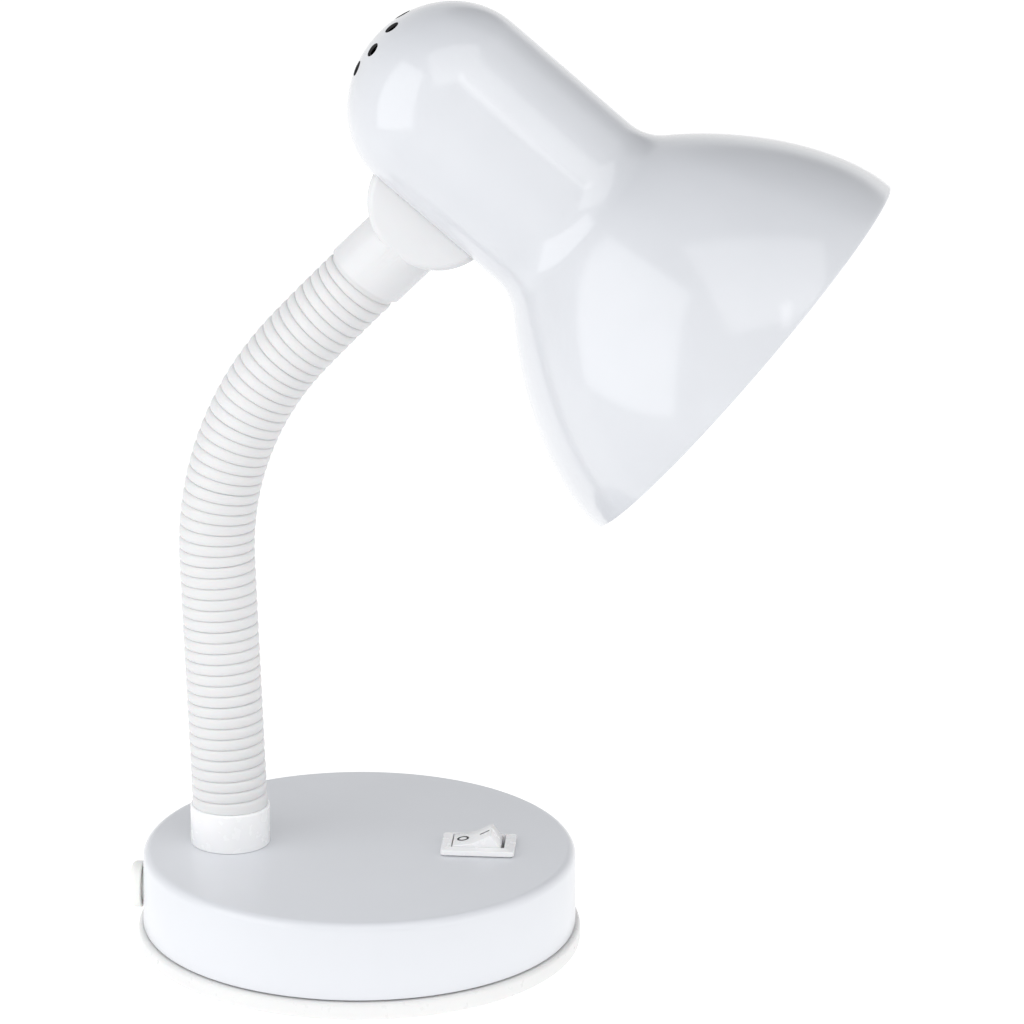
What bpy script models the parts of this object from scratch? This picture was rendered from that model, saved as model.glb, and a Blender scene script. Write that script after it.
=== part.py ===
"""Gooseneck desk lamp, built piece by piece. Metres, +Z up, floor at Z = 0.

The base stands on the origin. +X runs from the neck to the rocker switch, and
-Y is the front. The neck and the head lie in one upright plane through the neck.
"""
import math

import bmesh
import bpy
from mathutils import Matrix, Vector

# ---------------------------------------------------------------- dimensions
GAP = 0.0003                # between two pieces that touch
WALL = 0.0009               # sheet steel of the shell and the shade

BASE_D = 0.127              # base ring, outside
RING_TOP = 0.0058           # height of the visible base ring
RING_LIFT = 0.0008          # ring stands this far above the floor, on the pad
PAD_T = 0.0012
PAD_INSET = 0.0065          # pad stands in from the ring, on the radius
LIP_W = 0.0016              # rib of the base plate inside the shell
LIP_H = 0.0032
SHELL_INSET = 0.0012        # shell stands in from the ring, on the radius
SHELL_DRAFT = 0.0004        # shell gets this much smaller, on the radius
SHELL_LIFT = 0.0005         # dark gap between ring and shell
SHELL_TOP = 0.0285
SHELL_EDGE = 0.0025         # rounded upper edge of the shell

BALLAST_T = 0.0078
BALLAST_MARGIN = 0.009      # ballast stands in from the shell wall
BOLT_R = 0.0024
BOLT_HEAD_R = 0.005
BOLT_HEAD_T = 0.0026

BUSHING_D = 0.0134
BUSHING_PROUD = 0.0034
BUSHING_BORE = 0.0062
BUSHING_SHANK = 0.0090
BUSHING_RISE = 0.0018       # bushing clears the ring by this much

SWITCH_X = 0.0342
BEZEL_L = 0.021
BEZEL_W = 0.015
BEZEL_T = 0.002
ROCKER_HALF = 0.0073
ROCKER_TIP = 0.0058         # the two raised edges stand in from the ends
ROCKER_THROW = math.radians(35.0)
ROCKER_END_H = 0.0059
ROCKER_MID_H = 0.0050

NECK_X = -0.0372
NECK_TURN = math.radians(-4.8)
FERRULE_D = 0.0228
FERRULE_H = 0.0116
SLEEVE_D = 0.0215
HOSE_D = 0.0130
SLEEVE_PLAY = 0.0010        # sleeve bore is this much wider than the hose
HOSE_BORE = 0.0056
NECK_LEAN = math.radians(-2.4)
NECK_STRAIGHT = 0.0729
BEND_R = 0.0905
BEND_END = math.radians(42.3)
EASE_R = 0.600
EASE_END = math.radians(44.8)
MOUTH_SKEW = math.radians(8.0)  # the collar mouth is cut this far off square
NECK_LINKS = 8
LINK_OPENING = math.radians(13.0)   # half of the free angle between two hose links

COLLAR_D = 0.0224           # collar that the sleeve runs into
KNUCKLE_R = 0.0186
KNUCKLE_T = 0.0226
KNUCKLE_WALL = 0.0020
KNUCKLE_REACH = 0.0326      # sleeve end to knuckle centre, along the collar
KNUCKLE_SHIFT = 0.0018      # collar axis runs beside the knuckle centre
KNUCKLE_FLAT = 0.0090       # knuckle is cut flat this far inside its centre
KNUCKLE_EDGE = 0.0022
WIRE_END = 0.7              # wire duct ends at this share of the knuckle radius
PIN_R = 0.0015
WASHER_T = 0.0006
EAR_T = 0.0010
EAR_W = 0.0060
SCREW_R = 0.0013
SCREW_HEAD_R = 0.0026

SHADE_DOWN = math.radians(39.4)
SHADE_R = 0.0282
RIM_R = 0.0616
DOME_DEPTH = 0.026
DOME_TO_PIVOT = 0.0420      # apex of the dome to the pivot, along the axis
PIVOT_TO_FLARE = 0.0262
PIVOT_TO_RIM = 0.0913
PIVOT_IN = 0.0066           # pivot stands this far inside the outside of the shade
FLARE_ANGLE = math.radians(46.0)
FLARE_FILLET = 0.013
VENT_COUNT = 8
VENT_RING = 0.0105
VENT_TURN = math.radians(42.0)
VENT_R = 0.0021

HOLDER_R = 0.0185
HOLDER_L = 0.0290
CAP_R = 0.0132
BULB_R = 0.0225
BULB_L = 0.068
THREAD_WALL = 0.0005

SIDES = 52                  # sides of the large turned pieces
SMALL_SIDES = 24            # sides of the small turned pieces
MID_SIDES = 36              # sides of the middle turned pieces

# ---------------------------------------------------------------- scene
for old in list(bpy.data.objects):
    bpy.data.objects.remove(old, do_unlink=True)
lamp = bpy.data.collections.new("desk_lamp")
cutters = bpy.data.collections.new("cutters")
bpy.context.scene.collection.children.link(lamp)
bpy.context.scene.collection.children.link(cutters)


def material(name, colour, roughness, metallic=0.0):
    made = bpy.data.materials.new(name)
    made.use_nodes = True
    shader = made.node_tree.nodes["Principled BSDF"]
    shader.inputs["Base Color"].default_value = (*colour, 1.0)
    shader.inputs["Roughness"].default_value = roughness
    shader.inputs["Metallic"].default_value = metallic
    return made


enamel = material("white_enamel", (0.86, 0.87, 0.89), 0.22)
gloss = material("white_gloss_plastic", (0.84, 0.84, 0.83), 0.30)
matte = material("white_matte_plastic", (0.78, 0.78, 0.77), 0.50)
steel = material("zinc_steel", (0.60, 0.61, 0.62), 0.35, 1.0)
iron = material("cast_iron", (0.10, 0.10, 0.11), 0.70, 0.6)
brass = material("brass", (0.72, 0.55, 0.25), 0.30, 1.0)
pad_rubber = material("pad_rubber", (0.06, 0.06, 0.06), 0.80)
black = material("black_plastic", (0.03, 0.03, 0.03), 0.45)
opal = material("opal_glass", (0.92, 0.92, 0.90), 0.20)


# ---------------------------------------------------------------- modelling
def settle(obj, mat, parent, place, smooth=True):
    """Give a new object its material, its parent and its place."""
    obj.data.materials.append(mat)
    obj.parent = parent
    obj.matrix_basis = place
    if smooth:
        for face in obj.data.polygons:
            face.use_smooth = True
    return obj


def turned(name, profile, steps=SIDES, closed=True, where=lamp):
    """Turn a profile of (radius, height) points about local Z."""
    mesh = bpy.data.meshes.new(name)
    edges = [(i, i + 1) for i in range(len(profile) - 1)]
    if closed:
        edges.append((len(profile) - 1, 0))
    mesh.from_pydata([(r, 0.0, z) for r, z in profile], edges, [])
    obj = bpy.data.objects.new(name, mesh)
    where.objects.link(obj)
    screw = obj.modifiers.new("Turn", "SCREW")
    screw.axis = "Z"
    screw.steps = steps
    screw.render_steps = steps
    screw.use_merge_vertices = True
    screw.merge_threshold = 0.00001
    screw.use_smooth_shade = True
    return obj


def ring(outer, inner, low, high, edge=0.0):
    """Profile of a plain ring, with its outer corners eased."""
    return [(inner, high), (outer - edge, high), (outer, high - edge),
            (outer, low + edge), (outer - edge, low), (inner, low)]


def rod(radius, low, high, edge=0.0):
    """Profile of a solid rod, with its corners eased."""
    return [(0.0, high), (radius - edge, high), (radius, high - edge),
            (radius, low + edge), (radius - edge, low), (0.0, low)]


def block(name, size, centre, bevel=0.0, where=lamp):
    mesh = bpy.data.meshes.new(name)
    work = bmesh.new()
    bmesh.ops.create_cube(work, size=1.0)
    bmesh.ops.scale(work, vec=size, verts=work.verts)
    bmesh.ops.translate(work, vec=centre, verts=work.verts)
    work.to_mesh(mesh)
    work.free()
    obj = bpy.data.objects.new(name, mesh)
    where.objects.link(obj)
    if bevel:
        soft = obj.modifiers.new("Soften", "BEVEL")
        soft.width = bevel
        soft.segments = 2
    return obj


def prism(name, outline, half, where=lamp):
    """Extrude an (x, z) outline along Y to both sides of zero."""
    mesh = bpy.data.meshes.new(name)
    work = bmesh.new()
    near = [work.verts.new((x, -half, z)) for x, z in outline]
    far = [work.verts.new((x, half, z)) for x, z in outline]
    work.faces.new(near)
    work.faces.new(reversed(far))
    count = len(outline)
    for i in range(count):
        j = (i + 1) % count
        work.faces.new((near[j], near[i], far[i], far[j]))
    bmesh.ops.recalc_face_normals(work, faces=work.faces)
    work.to_mesh(mesh)
    work.free()
    obj = bpy.data.objects.new(name, mesh)
    where.objects.link(obj)
    return obj


def apply(obj, tool, operation):
    """Add a Boolean with a tool, which goes to the cutters collection."""
    step = obj.modifiers.new("Shape", "BOOLEAN")
    step.operation = operation
    step.solver = "EXACT"
    step.object = tool
    tool.hide_render = True
    tool.display_type = "WIRE"


def cut(obj, tool):
    apply(obj, tool, "DIFFERENCE")


def add(obj, tool):
    apply(obj, tool, "UNION")


def tool_at(tool, parent, place):
    tool.parent = parent
    tool.matrix_basis = place
    return tool


def shift(x, y, z):
    return Matrix.Translation((x, y, z))


def turn(angle, axis):
    return Matrix.Rotation(angle, 4, axis)


def arc(cx, cz, radius, start, end, count):
    """Points on an arc, angles measured from +X toward +Z."""
    return [(cx + radius * math.cos(start + (end - start) * i / count),
             cz + radius * math.sin(start + (end - start) * i / count))
            for i in range(count + 1)]


def hex_nut(name, corner, bore, low, high, parent, place):
    """A six-sided nut with a round bore."""
    nut = turned(name, rod(corner, low, high, 0.0005), 6, closed=False)
    hole = turned(f"{name}_bore", rod(bore, low - corner, high + corner), SMALL_SIDES,
                  closed=False, where=cutters)
    cut(nut, tool_at(hole, parent, place))
    return nut


HERE = Matrix.Identity(4)
QUARTER = math.pi / 2.0

# ---------------------------------------------------------------- base
base_r = BASE_D / 2.0
shell_low = RING_TOP + SHELL_LIFT
shell_r = base_r - SHELL_INSET
shell_top_r = shell_r - SHELL_DRAFT
shell_in_r = shell_top_r - WALL
shell_under = SHELL_TOP - WALL
pad_r = base_r - PAD_INSET
pad_recess = PAD_T + GAP
lip_out = shell_in_r - 3.0 * GAP
lip_in = lip_out - LIP_W
lip_top = RING_TOP + LIP_H

plate_edge = 0.0012
plate = turned("base_plate", [
    (0.0, RING_TOP),
    (lip_in, RING_TOP), (lip_in, lip_top), (lip_out, lip_top), (lip_out, RING_TOP),
    *[(x, z) for x, z in arc(base_r - plate_edge, RING_TOP - plate_edge, plate_edge,
                             QUARTER, 0.0, 3)],
    *[(x, z) for x, z in arc(base_r - RING_LIFT, 2.0 * RING_LIFT, RING_LIFT, 0.0, -QUARTER, 2)],
    (pad_r + GAP, RING_LIFT), (pad_r + GAP, pad_recess), (0.0, pad_recess)], closed=False)
settle(plate, gloss, None, HERE, smooth=False)

bolt_head_low = pad_recess + GAP
bolt_head_top = bolt_head_low + BOLT_HEAD_T
counterbore = turned("counterbore", rod(BOLT_HEAD_R + GAP, -PAD_T, bolt_head_top + GAP),
                     SMALL_SIDES, closed=False, where=cutters)
cut(plate, counterbore)
bolt_hole = turned("bolt_hole", rod(BOLT_R + GAP, -PAD_T, SHELL_TOP), SMALL_SIDES,
                   closed=False, where=cutters)
cut(plate, bolt_hole)

pad = turned("base_pad", rod(pad_r, 0.0, PAD_T), closed=False)
settle(pad, pad_rubber, None, HERE, smooth=False)

ballast_low = RING_TOP + GAP
ballast_top = ballast_low + BALLAST_T
ballast_r = shell_in_r - BALLAST_MARGIN
ballast = turned("ballast_disc", ring(ballast_r, BOLT_R + GAP, ballast_low, ballast_top, 0.0008))
settle(ballast, iron, None, HERE, smooth=False)

post_r = 0.007
post_low = ballast_top + GAP
post_top = shell_under - GAP
post = turned("weld_post", ring(post_r, BOLT_R + GAP, post_low, post_top, 0.0004), SMALL_SIDES)
settle(post, steel, None, HERE, smooth=False)

bolt = turned("base_bolt", [
    (0.0, post_top - 0.0025), (BOLT_R, post_top - 0.0025), (BOLT_R, bolt_head_top),
    (BOLT_HEAD_R, bolt_head_top), (BOLT_HEAD_R, bolt_head_low + 0.0006),
    (BOLT_HEAD_R - 0.0006, bolt_head_low), (0.0, bolt_head_low)], SMALL_SIDES, closed=False)
settle(bolt, steel, None, HERE, smooth=False)

shell = turned("base_shell", [
    (0.0, SHELL_TOP),
    *arc(shell_top_r - SHELL_EDGE, SHELL_TOP - SHELL_EDGE, SHELL_EDGE, QUARTER, 0.0, 6),
    (shell_r, shell_low), (shell_r - WALL, shell_low),
    *arc(shell_top_r - SHELL_EDGE, SHELL_TOP - SHELL_EDGE, SHELL_EDGE - WALL, 0.0, QUARTER, 4),
    (0.0, shell_under)], closed=False)
settle(shell, enamel, None, HERE, smooth=False)

# ---------------------------------------------------------------- cord bushing
bushing_z = RING_TOP + BUSHING_D / 2.0 + BUSHING_RISE
bushing_r = BUSHING_D / 2.0
shank_r = BUSHING_SHANK / 2.0
bushing_face = shell_r + GAP
outward = shift(0.0, 0.0, bushing_z) @ turn(-QUARTER, "Y")
shank_end = shell_r - 0.0085
bushing_tip = bushing_face + BUSHING_PROUD
bushing_round = 0.0018
bushing = turned("cord_bushing", [
    (BUSHING_BORE / 2.0, bushing_tip - 0.0006), (BUSHING_BORE / 2.0 + 0.0006, bushing_tip),
    *arc(bushing_r - bushing_round, bushing_tip - bushing_round, bushing_round, QUARTER, 0.0, 4),
    (bushing_r, bushing_face), (shank_r, bushing_face), (shank_r, shank_end),
    (BUSHING_BORE / 2.0, shank_end)], SMALL_SIDES)
settle(bushing, matte, None, outward, smooth=False)
bushing_hole = turned("bushing_hole", rod(shank_r + GAP, shank_end, bushing_tip), SMALL_SIDES,
                      closed=False, where=cutters)
cut(shell, tool_at(bushing_hole, None, outward))

wall_inside = shell_in_r - 0.0012
bushing_nut = hex_nut("bushing_nut", shank_r + 0.0022, shank_r + GAP,
                      wall_inside - 0.0035, wall_inside, None, outward)
settle(bushing_nut, matte, None, outward, smooth=False)
lip_notch = block("lip_notch", (0.012, 2.0 * (shank_r + 0.0045), 0.02),
                  (-lip_out, 0.0, RING_TOP + 0.01), where=cutters)
cut(plate, lip_notch)

# ---------------------------------------------------------------- rocker switch
body_l = BEZEL_L - 0.0018
body_w = BEZEL_W - 0.0021
body_low = SHELL_TOP - 0.0095
pocket_l = 2.0 * (ROCKER_HALF + 3.0 * GAP)
rocker_w = BEZEL_W - 0.0050
pocket_w = rocker_w + 2.0 * GAP
pivot_z = SHELL_TOP - 0.0015
at_switch = shift(SWITCH_X, 0.0, 0.0)

housing = block("switch_housing", (BEZEL_L, BEZEL_W, BEZEL_T),
                (0.0, 0.0, SHELL_TOP + GAP + BEZEL_T / 2.0), bevel=0.0006)
settle(housing, gloss, None, at_switch, smooth=False)
body_top = SHELL_TOP + GAP + BEZEL_T / 2.0
body = block("switch_body", (body_l, body_w, body_top - body_low),
             (0.0, 0.0, (body_top + body_low) / 2.0), where=cutters)
add(housing, tool_at(body, None, at_switch))
pocket_low = body_low + 0.0018
pocket_top = SHELL_TOP + 2.0 * BEZEL_T
pocket = block("switch_pocket", (pocket_l, pocket_w, pocket_top - pocket_low),
               (0.0, 0.0, (pocket_top + pocket_low) / 2.0), where=cutters)
cut(housing, tool_at(pocket, None, at_switch))
opening = block("switch_opening", (body_l + 2.0 * GAP, body_w + 2.0 * GAP, 4.0 * BEZEL_T),
                (0.0, 0.0, SHELL_TOP), where=cutters)
cut(shell, tool_at(opening, None, at_switch))

pin_half = body_w / 2.0 - GAP / 2.0
rocker_hub = bpy.data.objects.new("rocker_hub", None)
lamp.objects.link(rocker_hub)
rocker_hub.location = (SWITCH_X, 0.0, pivot_z)
rocker_foot = 0.76 * ROCKER_HALF
rocker = prism("switch_rocker", [
    (-ROCKER_TIP, ROCKER_END_H), (-ROCKER_HALF, 0.0010), (-rocker_foot, -0.0028),
    (rocker_foot, -0.0028), (ROCKER_HALF, 0.0010), (ROCKER_TIP, ROCKER_END_H),
    (ROCKER_TIP / 2.0, ROCKER_MID_H + 0.0003), (0.0, ROCKER_MID_H),
    (-ROCKER_TIP / 2.0, ROCKER_MID_H + 0.0003)], rocker_w / 2.0)
settle(rocker, gloss, rocker_hub, turn(-ROCKER_THROW / 2.0, "Y"), smooth=False)
pin_slot = turned("pin_slot", rod(0.0010 + GAP, -BEZEL_W, BEZEL_W), 16, closed=False,
                  where=cutters)
across = turn(QUARTER, "X")
cut(rocker, tool_at(pin_slot, rocker_hub, across))
cut(housing, pin_slot)
rocker_pin = turned("rocker_pin", rod(0.0010, -pin_half, pin_half), 16, closed=False)
settle(rocker_pin, steel, None, shift(SWITCH_X, 0.0, pivot_z) @ across, smooth=False)

blade_t = 0.0008
blade_w = 0.0048
blade_low = ballast_top + 3.0 * GAP
blade_top = pocket_low + 0.0010
for index, side in enumerate((-1.0, 1.0), start=1):
    spot = shift(SWITCH_X + side * 0.0055, 0.0, 0.0)
    blade = block(f"switch_terminal_{index}", (blade_t, blade_w, blade_top - blade_low),
                  (0.0, 0.0, (blade_top + blade_low) / 2.0))
    settle(blade, brass, None, spot, smooth=False)
    slot = block(f"terminal_slot_{index}", (blade_t + 2.0 * GAP, blade_w + 2.0 * GAP, 0.006),
                 (0.0, 0.0, body_low), where=cutters)
    cut(housing, tool_at(slot, None, spot))

# ---------------------------------------------------------------- neck foot
root = bpy.data.objects.new("neck_root", None)
lamp.objects.link(root)
root.location = (NECK_X, 0.0, 0.0)
root.rotation_euler = (0.0, 0.0, NECK_TURN)

ferrule_low = SHELL_TOP + GAP
ferrule_top = SHELL_TOP + FERRULE_H
hose_r = HOSE_D / 2.0
ferrule_bore = hose_r + 3.0 * GAP
ferrule = turned("neck_ferrule", [
    (ferrule_bore, ferrule_top), (FERRULE_D / 2.0 - 0.0006, ferrule_top),
    (FERRULE_D / 2.0, ferrule_top - 0.0006), (FERRULE_D / 2.0, ferrule_low + 0.0004),
    (FERRULE_D / 2.0 - 0.0004, ferrule_low), (ferrule_bore, ferrule_low)], MID_SIDES)
settle(ferrule, gloss, root, HERE, smooth=False)

stem_r = 0.0050
stem_bore = HOSE_BORE / 2.0
stem_top = ferrule_low + 0.0045
stem_low = shell_under - 0.0100
flange_top = ferrule_low + 0.0025
stem = turned("neck_stem", [
    (stem_bore, stem_top), (stem_r, stem_top), (stem_r, flange_top), (hose_r, flange_top),
    (hose_r, ferrule_low), (stem_r, ferrule_low), (stem_r, stem_low), (stem_bore, stem_low)],
    SMALL_SIDES)
settle(stem, steel, root, HERE, smooth=False)
stem_hole = turned("stem_hole", rod(stem_r + GAP, stem_low, stem_top), SMALL_SIDES,
                   closed=False, where=cutters)
cut(shell, tool_at(stem_hole, root, HERE))
washer_top = shell_under - GAP
washer_low = washer_top - 0.0010
neck_washer = turned("neck_washer", ring(0.0095, stem_r + GAP, washer_low, washer_top),
                     SMALL_SIDES)
settle(neck_washer, steel, root, HERE, smooth=False)
nut_top = washer_low - GAP
neck_nut = hex_nut("neck_nut", 0.0088, stem_r + GAP, nut_top - 0.0045, nut_top, root, HERE)
settle(neck_nut, steel, root, HERE, smooth=False)


# ---------------------------------------------------------------- neck path
def neck_at(run):
    """Point in the neck plane and the angle from upright, at a length along the neck."""
    x, z, lean = 0.0, ferrule_top, NECK_LEAN
    step = min(run, NECK_STRAIGHT)
    x, z = x + step * math.sin(lean), z + step * math.cos(lean)
    run = run - step
    for radius, end in ((BEND_R, BEND_END), (EASE_R, EASE_END)):
        full = radius * (end - lean)
        part = min(max(run, 0.0), full)
        after = lean + part / radius
        x = x + radius * (math.cos(lean) - math.cos(after))
        z = z + radius * (math.sin(after) - math.sin(lean))
        lean = after
        run = run - part
    if run > 0.0:
        x, z = x + run * math.sin(lean), z + run * math.cos(lean)
    return x, z, lean


NECK_LENGTH = NECK_STRAIGHT + BEND_R * (BEND_END - NECK_LEAN) + EASE_R * (EASE_END - BEND_END)
PITCH = NECK_LENGTH / NECK_LINKS


def swept(name, start, end, outer, inner, steps, sides, opening, open_low, open_high, centre,
          skew=0.0):
    """A tube that follows the neck, with its ends hollowed back where it meets a hinge."""
    px, pz, lean = neck_at(centre)
    back = (shift(px, 0.0, pz) @ turn(lean, "Y")).inverted()
    mesh = bpy.data.meshes.new(name)
    work = bmesh.new()
    loops = {"out": [], "in": []}
    for i in range(steps + 1):
        run = start + (end - start) * i / steps
        for key, radius in (("out", outer), ("in", inner)):
            trim = 0.0
            if i == 0 and open_low:
                trim = radius * math.tan(opening)
            if i == steps and open_high:
                trim = -radius * math.tan(opening)
            x, z, angle = neck_at(run + trim)
            frame = back @ shift(x, 0.0, z) @ turn(angle - skew * (i == steps), "Y")
            loop = []
            for k in range(sides):
                a = 2.0 * math.pi * k / sides
                loop.append(work.verts.new(frame @ Vector((radius * math.cos(a),
                                                           radius * math.sin(a), 0.0))))
            loops[key].append(loop)
    for i in range(steps):
        for k in range(sides):
            n = (k + 1) % sides
            low, high = loops["out"][i], loops["out"][i + 1]
            work.faces.new((low[k], low[n], high[n], high[k]))
            low, high = loops["in"][i], loops["in"][i + 1]
            work.faces.new((low[n], low[k], high[k], high[n]))
    for k in range(sides):
        n = (k + 1) % sides
        work.faces.new((loops["out"][0][n], loops["out"][0][k],
                        loops["in"][0][k], loops["in"][0][n]))
        work.faces.new((loops["out"][steps][k], loops["out"][steps][n],
                        loops["in"][steps][n], loops["in"][steps][k]))
    work.to_mesh(mesh)
    work.free()
    obj = bpy.data.objects.new(name, mesh)
    lamp.objects.link(obj)
    return obj, back.inverted()


socket = 0.0080             # hose runs this far into the upper collar
for link in range(1, NECK_LINKS + 1):
    low = (link - 1) * PITCH
    high = link * PITCH
    hinge = 0.0 if link == 1 else low
    last = link == NECK_LINKS
    sleeve_low = low + GAP / 2.0
    if link == 1:
        sleeve_low = GAP + SLEEVE_D / 2.0 * math.sin(abs(NECK_LEAN))
    sleeve_high = high - GAP / 2.0 + last * SLEEVE_D / 2.0 * math.tan(MOUTH_SKEW)
    sleeve, place = swept(f"sleeve_{link}", sleeve_low, sleeve_high, SLEEVE_D / 2.0,
                          (HOSE_D + SLEEVE_PLAY) / 2.0, 3, 24, 0.0, False, False, hinge,
                          skew=last * MOUTH_SKEW)
    settle(sleeve, matte, root, place)
    hose_low = low + GAP / 2.0
    hose_high = high - GAP / 2.0
    if link == 1:
        hose_low = stem_top + GAP - ferrule_top
    if last:
        hose_high = high + socket
    hose, place = swept(f"hose_{link}", hose_low, hose_high, hose_r, HOSE_BORE / 2.0, 3, 16,
                        LINK_OPENING, link > 1, not last, hinge)
    settle(hose, steel, root, place)

# ---------------------------------------------------------------- knuckle
end_x, end_z, end_lean = neck_at(NECK_LENGTH)
knuckle_place = (shift(end_x, 0.0, end_z) @ turn(end_lean, "Y")
                 @ shift(-KNUCKLE_SHIFT, 0.0, KNUCKLE_REACH))
knuckle = bpy.data.objects.new("knuckle_frame", None)
lamp.objects.link(knuckle)
knuckle.parent = root
knuckle.matrix_basis = knuckle_place

half_t = KNUCKLE_T / 2.0
collar_r = COLLAR_D / 2.0
split = GAP / 2.0
shade_lean = QUARTER + SHADE_DOWN
inner_r = KNUCKLE_R - KNUCKLE_WALL
cavity_half = half_t - KNUCKLE_WALL
to_shade = turn(shade_lean - end_lean, "Y")
collar_low = -KNUCKLE_REACH - COLLAR_D / 4.0
collar_line = shift(KNUCKLE_SHIFT, 0.0, 0.0)
mouth_rise = SLEEVE_D / 2.0 * math.tan(MOUTH_SKEW)
mouth_place = (shift(KNUCKLE_SHIFT, 0.0, mouth_rise + GAP - KNUCKLE_REACH)
               @ turn(-MOUTH_SKEW, "Y"))
lying = turn(QUARTER, "X")
big = 2.0 * (KNUCKLE_REACH + 2.0 * KNUCKLE_R)
boss_r = SCREW_R + 0.0018
spare = 0.0020
recess = 0.75 * KNUCKLE_WALL
half_step = turn(math.pi / MID_SIDES, "Z")
part_step = turn(0.23 * math.pi / MID_SIDES, "Z")   # keeps coaxial edges apart
bore_top = -KNUCKLE_REACH + socket + GAP
screw_reach = KNUCKLE_R - boss_r - GAP
screw_spots = (shift(-0.37 * screw_reach, 0.0, -0.76 * screw_reach),
               shift(0.67 * screw_reach, 0.0, -0.74 * screw_reach))

for side, tag in ((-1.0, "near"), (1.0, "far")):
    disc = turned(f"knuckle_{tag}", [
        (0.0, half_t), *arc(KNUCKLE_R - KNUCKLE_EDGE, half_t - KNUCKLE_EDGE, KNUCKLE_EDGE,
                            QUARTER, 0.0, 4),
        (KNUCKLE_R, -spare), (0.0, -spare)], MID_SIDES, closed=False)
    face = turn(-side * QUARTER, "X")
    settle(disc, gloss, knuckle, face, smooth=False)
    tube = turned(f"collar_{tag}", rod(collar_r, collar_low, -KNUCKLE_R / 2.0), MID_SIDES,
                  closed=False, where=cutters)
    add(disc, tool_at(tube, knuckle, collar_line @ part_step))
    hollow = turned(f"hollow_{tag}", rod(inner_r, -cavity_half, cavity_half), MID_SIDES,
                    closed=False, where=cutters)
    cut(disc, tool_at(hollow, knuckle, lying @ half_step))
    for index, spot in enumerate(screw_spots, start=1):
        boss = turned(f"boss_{tag}_{index}", rod(boss_r, -0.7 * spare, cavity_half + KNUCKLE_WALL / 2.0),
                      16, closed=False, where=cutters)
        add(disc, tool_at(boss, knuckle, spot @ face))
    hub_boss = turned(f"hub_boss_{tag}", rod(PIN_R + 0.0020, -0.4 * spare,
                                             cavity_half + KNUCKLE_WALL / 2.0), 20,
                      closed=False, where=cutters)
    add(disc, tool_at(hub_boss, knuckle, face @ part_step))
    bore = turned(f"collar_bore_{tag}", [
        (0.0, -WIRE_END * KNUCKLE_R), (HOSE_BORE / 2.0, -WIRE_END * KNUCKLE_R), (HOSE_BORE / 2.0, bore_top),
        (hose_r + GAP, bore_top), (hose_r + GAP, -1.5 * KNUCKLE_REACH),
        (0.0, -1.5 * KNUCKLE_REACH)], MID_SIDES, closed=False, where=cutters)
    cut(disc, tool_at(bore, knuckle, collar_line @ half_step))
    pin_bore = turned(f"pin_bore_{tag}", rod(PIN_R + GAP, -KNUCKLE_T, KNUCKLE_T), 20,
                      closed=False, where=cutters)
    cut(disc, tool_at(pin_bore, knuckle, lying))
    mouth = block(f"mouth_{tag}", (big, big, big), (0.0, 0.0, -big / 2.0), where=cutters)
    cut(disc, tool_at(mouth, knuckle, mouth_place))
    trim = block(f"flat_{tag}", (big, big, big), (-KNUCKLE_FLAT - big / 2.0, 0.0, 0.0),
                 where=cutters)
    cut(disc, tool_at(trim, knuckle, to_shade))
    parting = block(f"parting_{tag}", (big, big, big),
                    (0.0, -side * (big / 2.0 - split), 0.0), where=cutters)
    cut(disc, tool_at(parting, knuckle, HERE))
    for index, spot in enumerate(screw_spots, start=1):
        if side > 0.0:
            hole = turned(f"screw_hole_far_{index}", rod(SCREW_R + GAP, -big, big), 16,
                          closed=False, where=cutters)
            head_room = turned(f"head_room_{index}", rod(SCREW_HEAD_R + GAP,
                                                         half_t - recess, big), 20,
                               closed=False, where=cutters)
            cut(disc, tool_at(head_room, knuckle, spot @ face))
        else:
            hole = turned(f"screw_hole_near_{index}", rod(SCREW_R + GAP, -half_t,
                                                          cavity_half - 0.0020), 16,
                          closed=False, where=cutters)
        cut(disc, tool_at(hole, knuckle, spot @ face))

head_low = half_t - recess + GAP
for index, spot in enumerate(screw_spots, start=1):
    screw_tip = -(cavity_half - 0.0020 - GAP)
    screw = turned(f"knuckle_screw_{index}", [
        (0.0, half_t - GAP), (SCREW_HEAD_R - 0.0006, half_t - GAP),
        (SCREW_HEAD_R, half_t - 2.0 * GAP), (SCREW_HEAD_R, head_low), (SCREW_R, head_low),
        (SCREW_R, screw_tip + 0.0008), (0.0004, screw_tip), (0.0, screw_tip)], 20, closed=False)
    settle(screw, steel, knuckle, spot @ turn(-QUARTER, "X"), smooth=False)

# ---------------------------------------------------------------- head
head = bpy.data.objects.new("head_pivot", None)
lamp.objects.link(head)
head.parent = root
head.matrix_basis = knuckle_place @ to_shade
pivot_off = SHADE_R - PIVOT_IN
on_axis = shift(-pivot_off, 0.0, 0.0)

washer_in = half_t + GAP / 2.0
washer_out = washer_in + WASHER_T
ear_in = washer_out + GAP / 2.0
ear_out = ear_in + EAR_T
for side, tag in ((-1.0, "near"), (1.0, "far")):
    washer = turned(f"tilt_washer_{tag}", ring(PIN_R + 0.0009, PIN_R + GAP / 2.0,
                                               washer_in, washer_out), 24)
    settle(washer, brass, head, turn(-side * QUARTER, "X"), smooth=False)
pin = turned("pivot_pin", rod(PIN_R, -ear_out - 0.0003, ear_out + 0.0003, 0.0002), 24,
             closed=False)
settle(pin, steel, head, lying, smooth=False)

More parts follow.
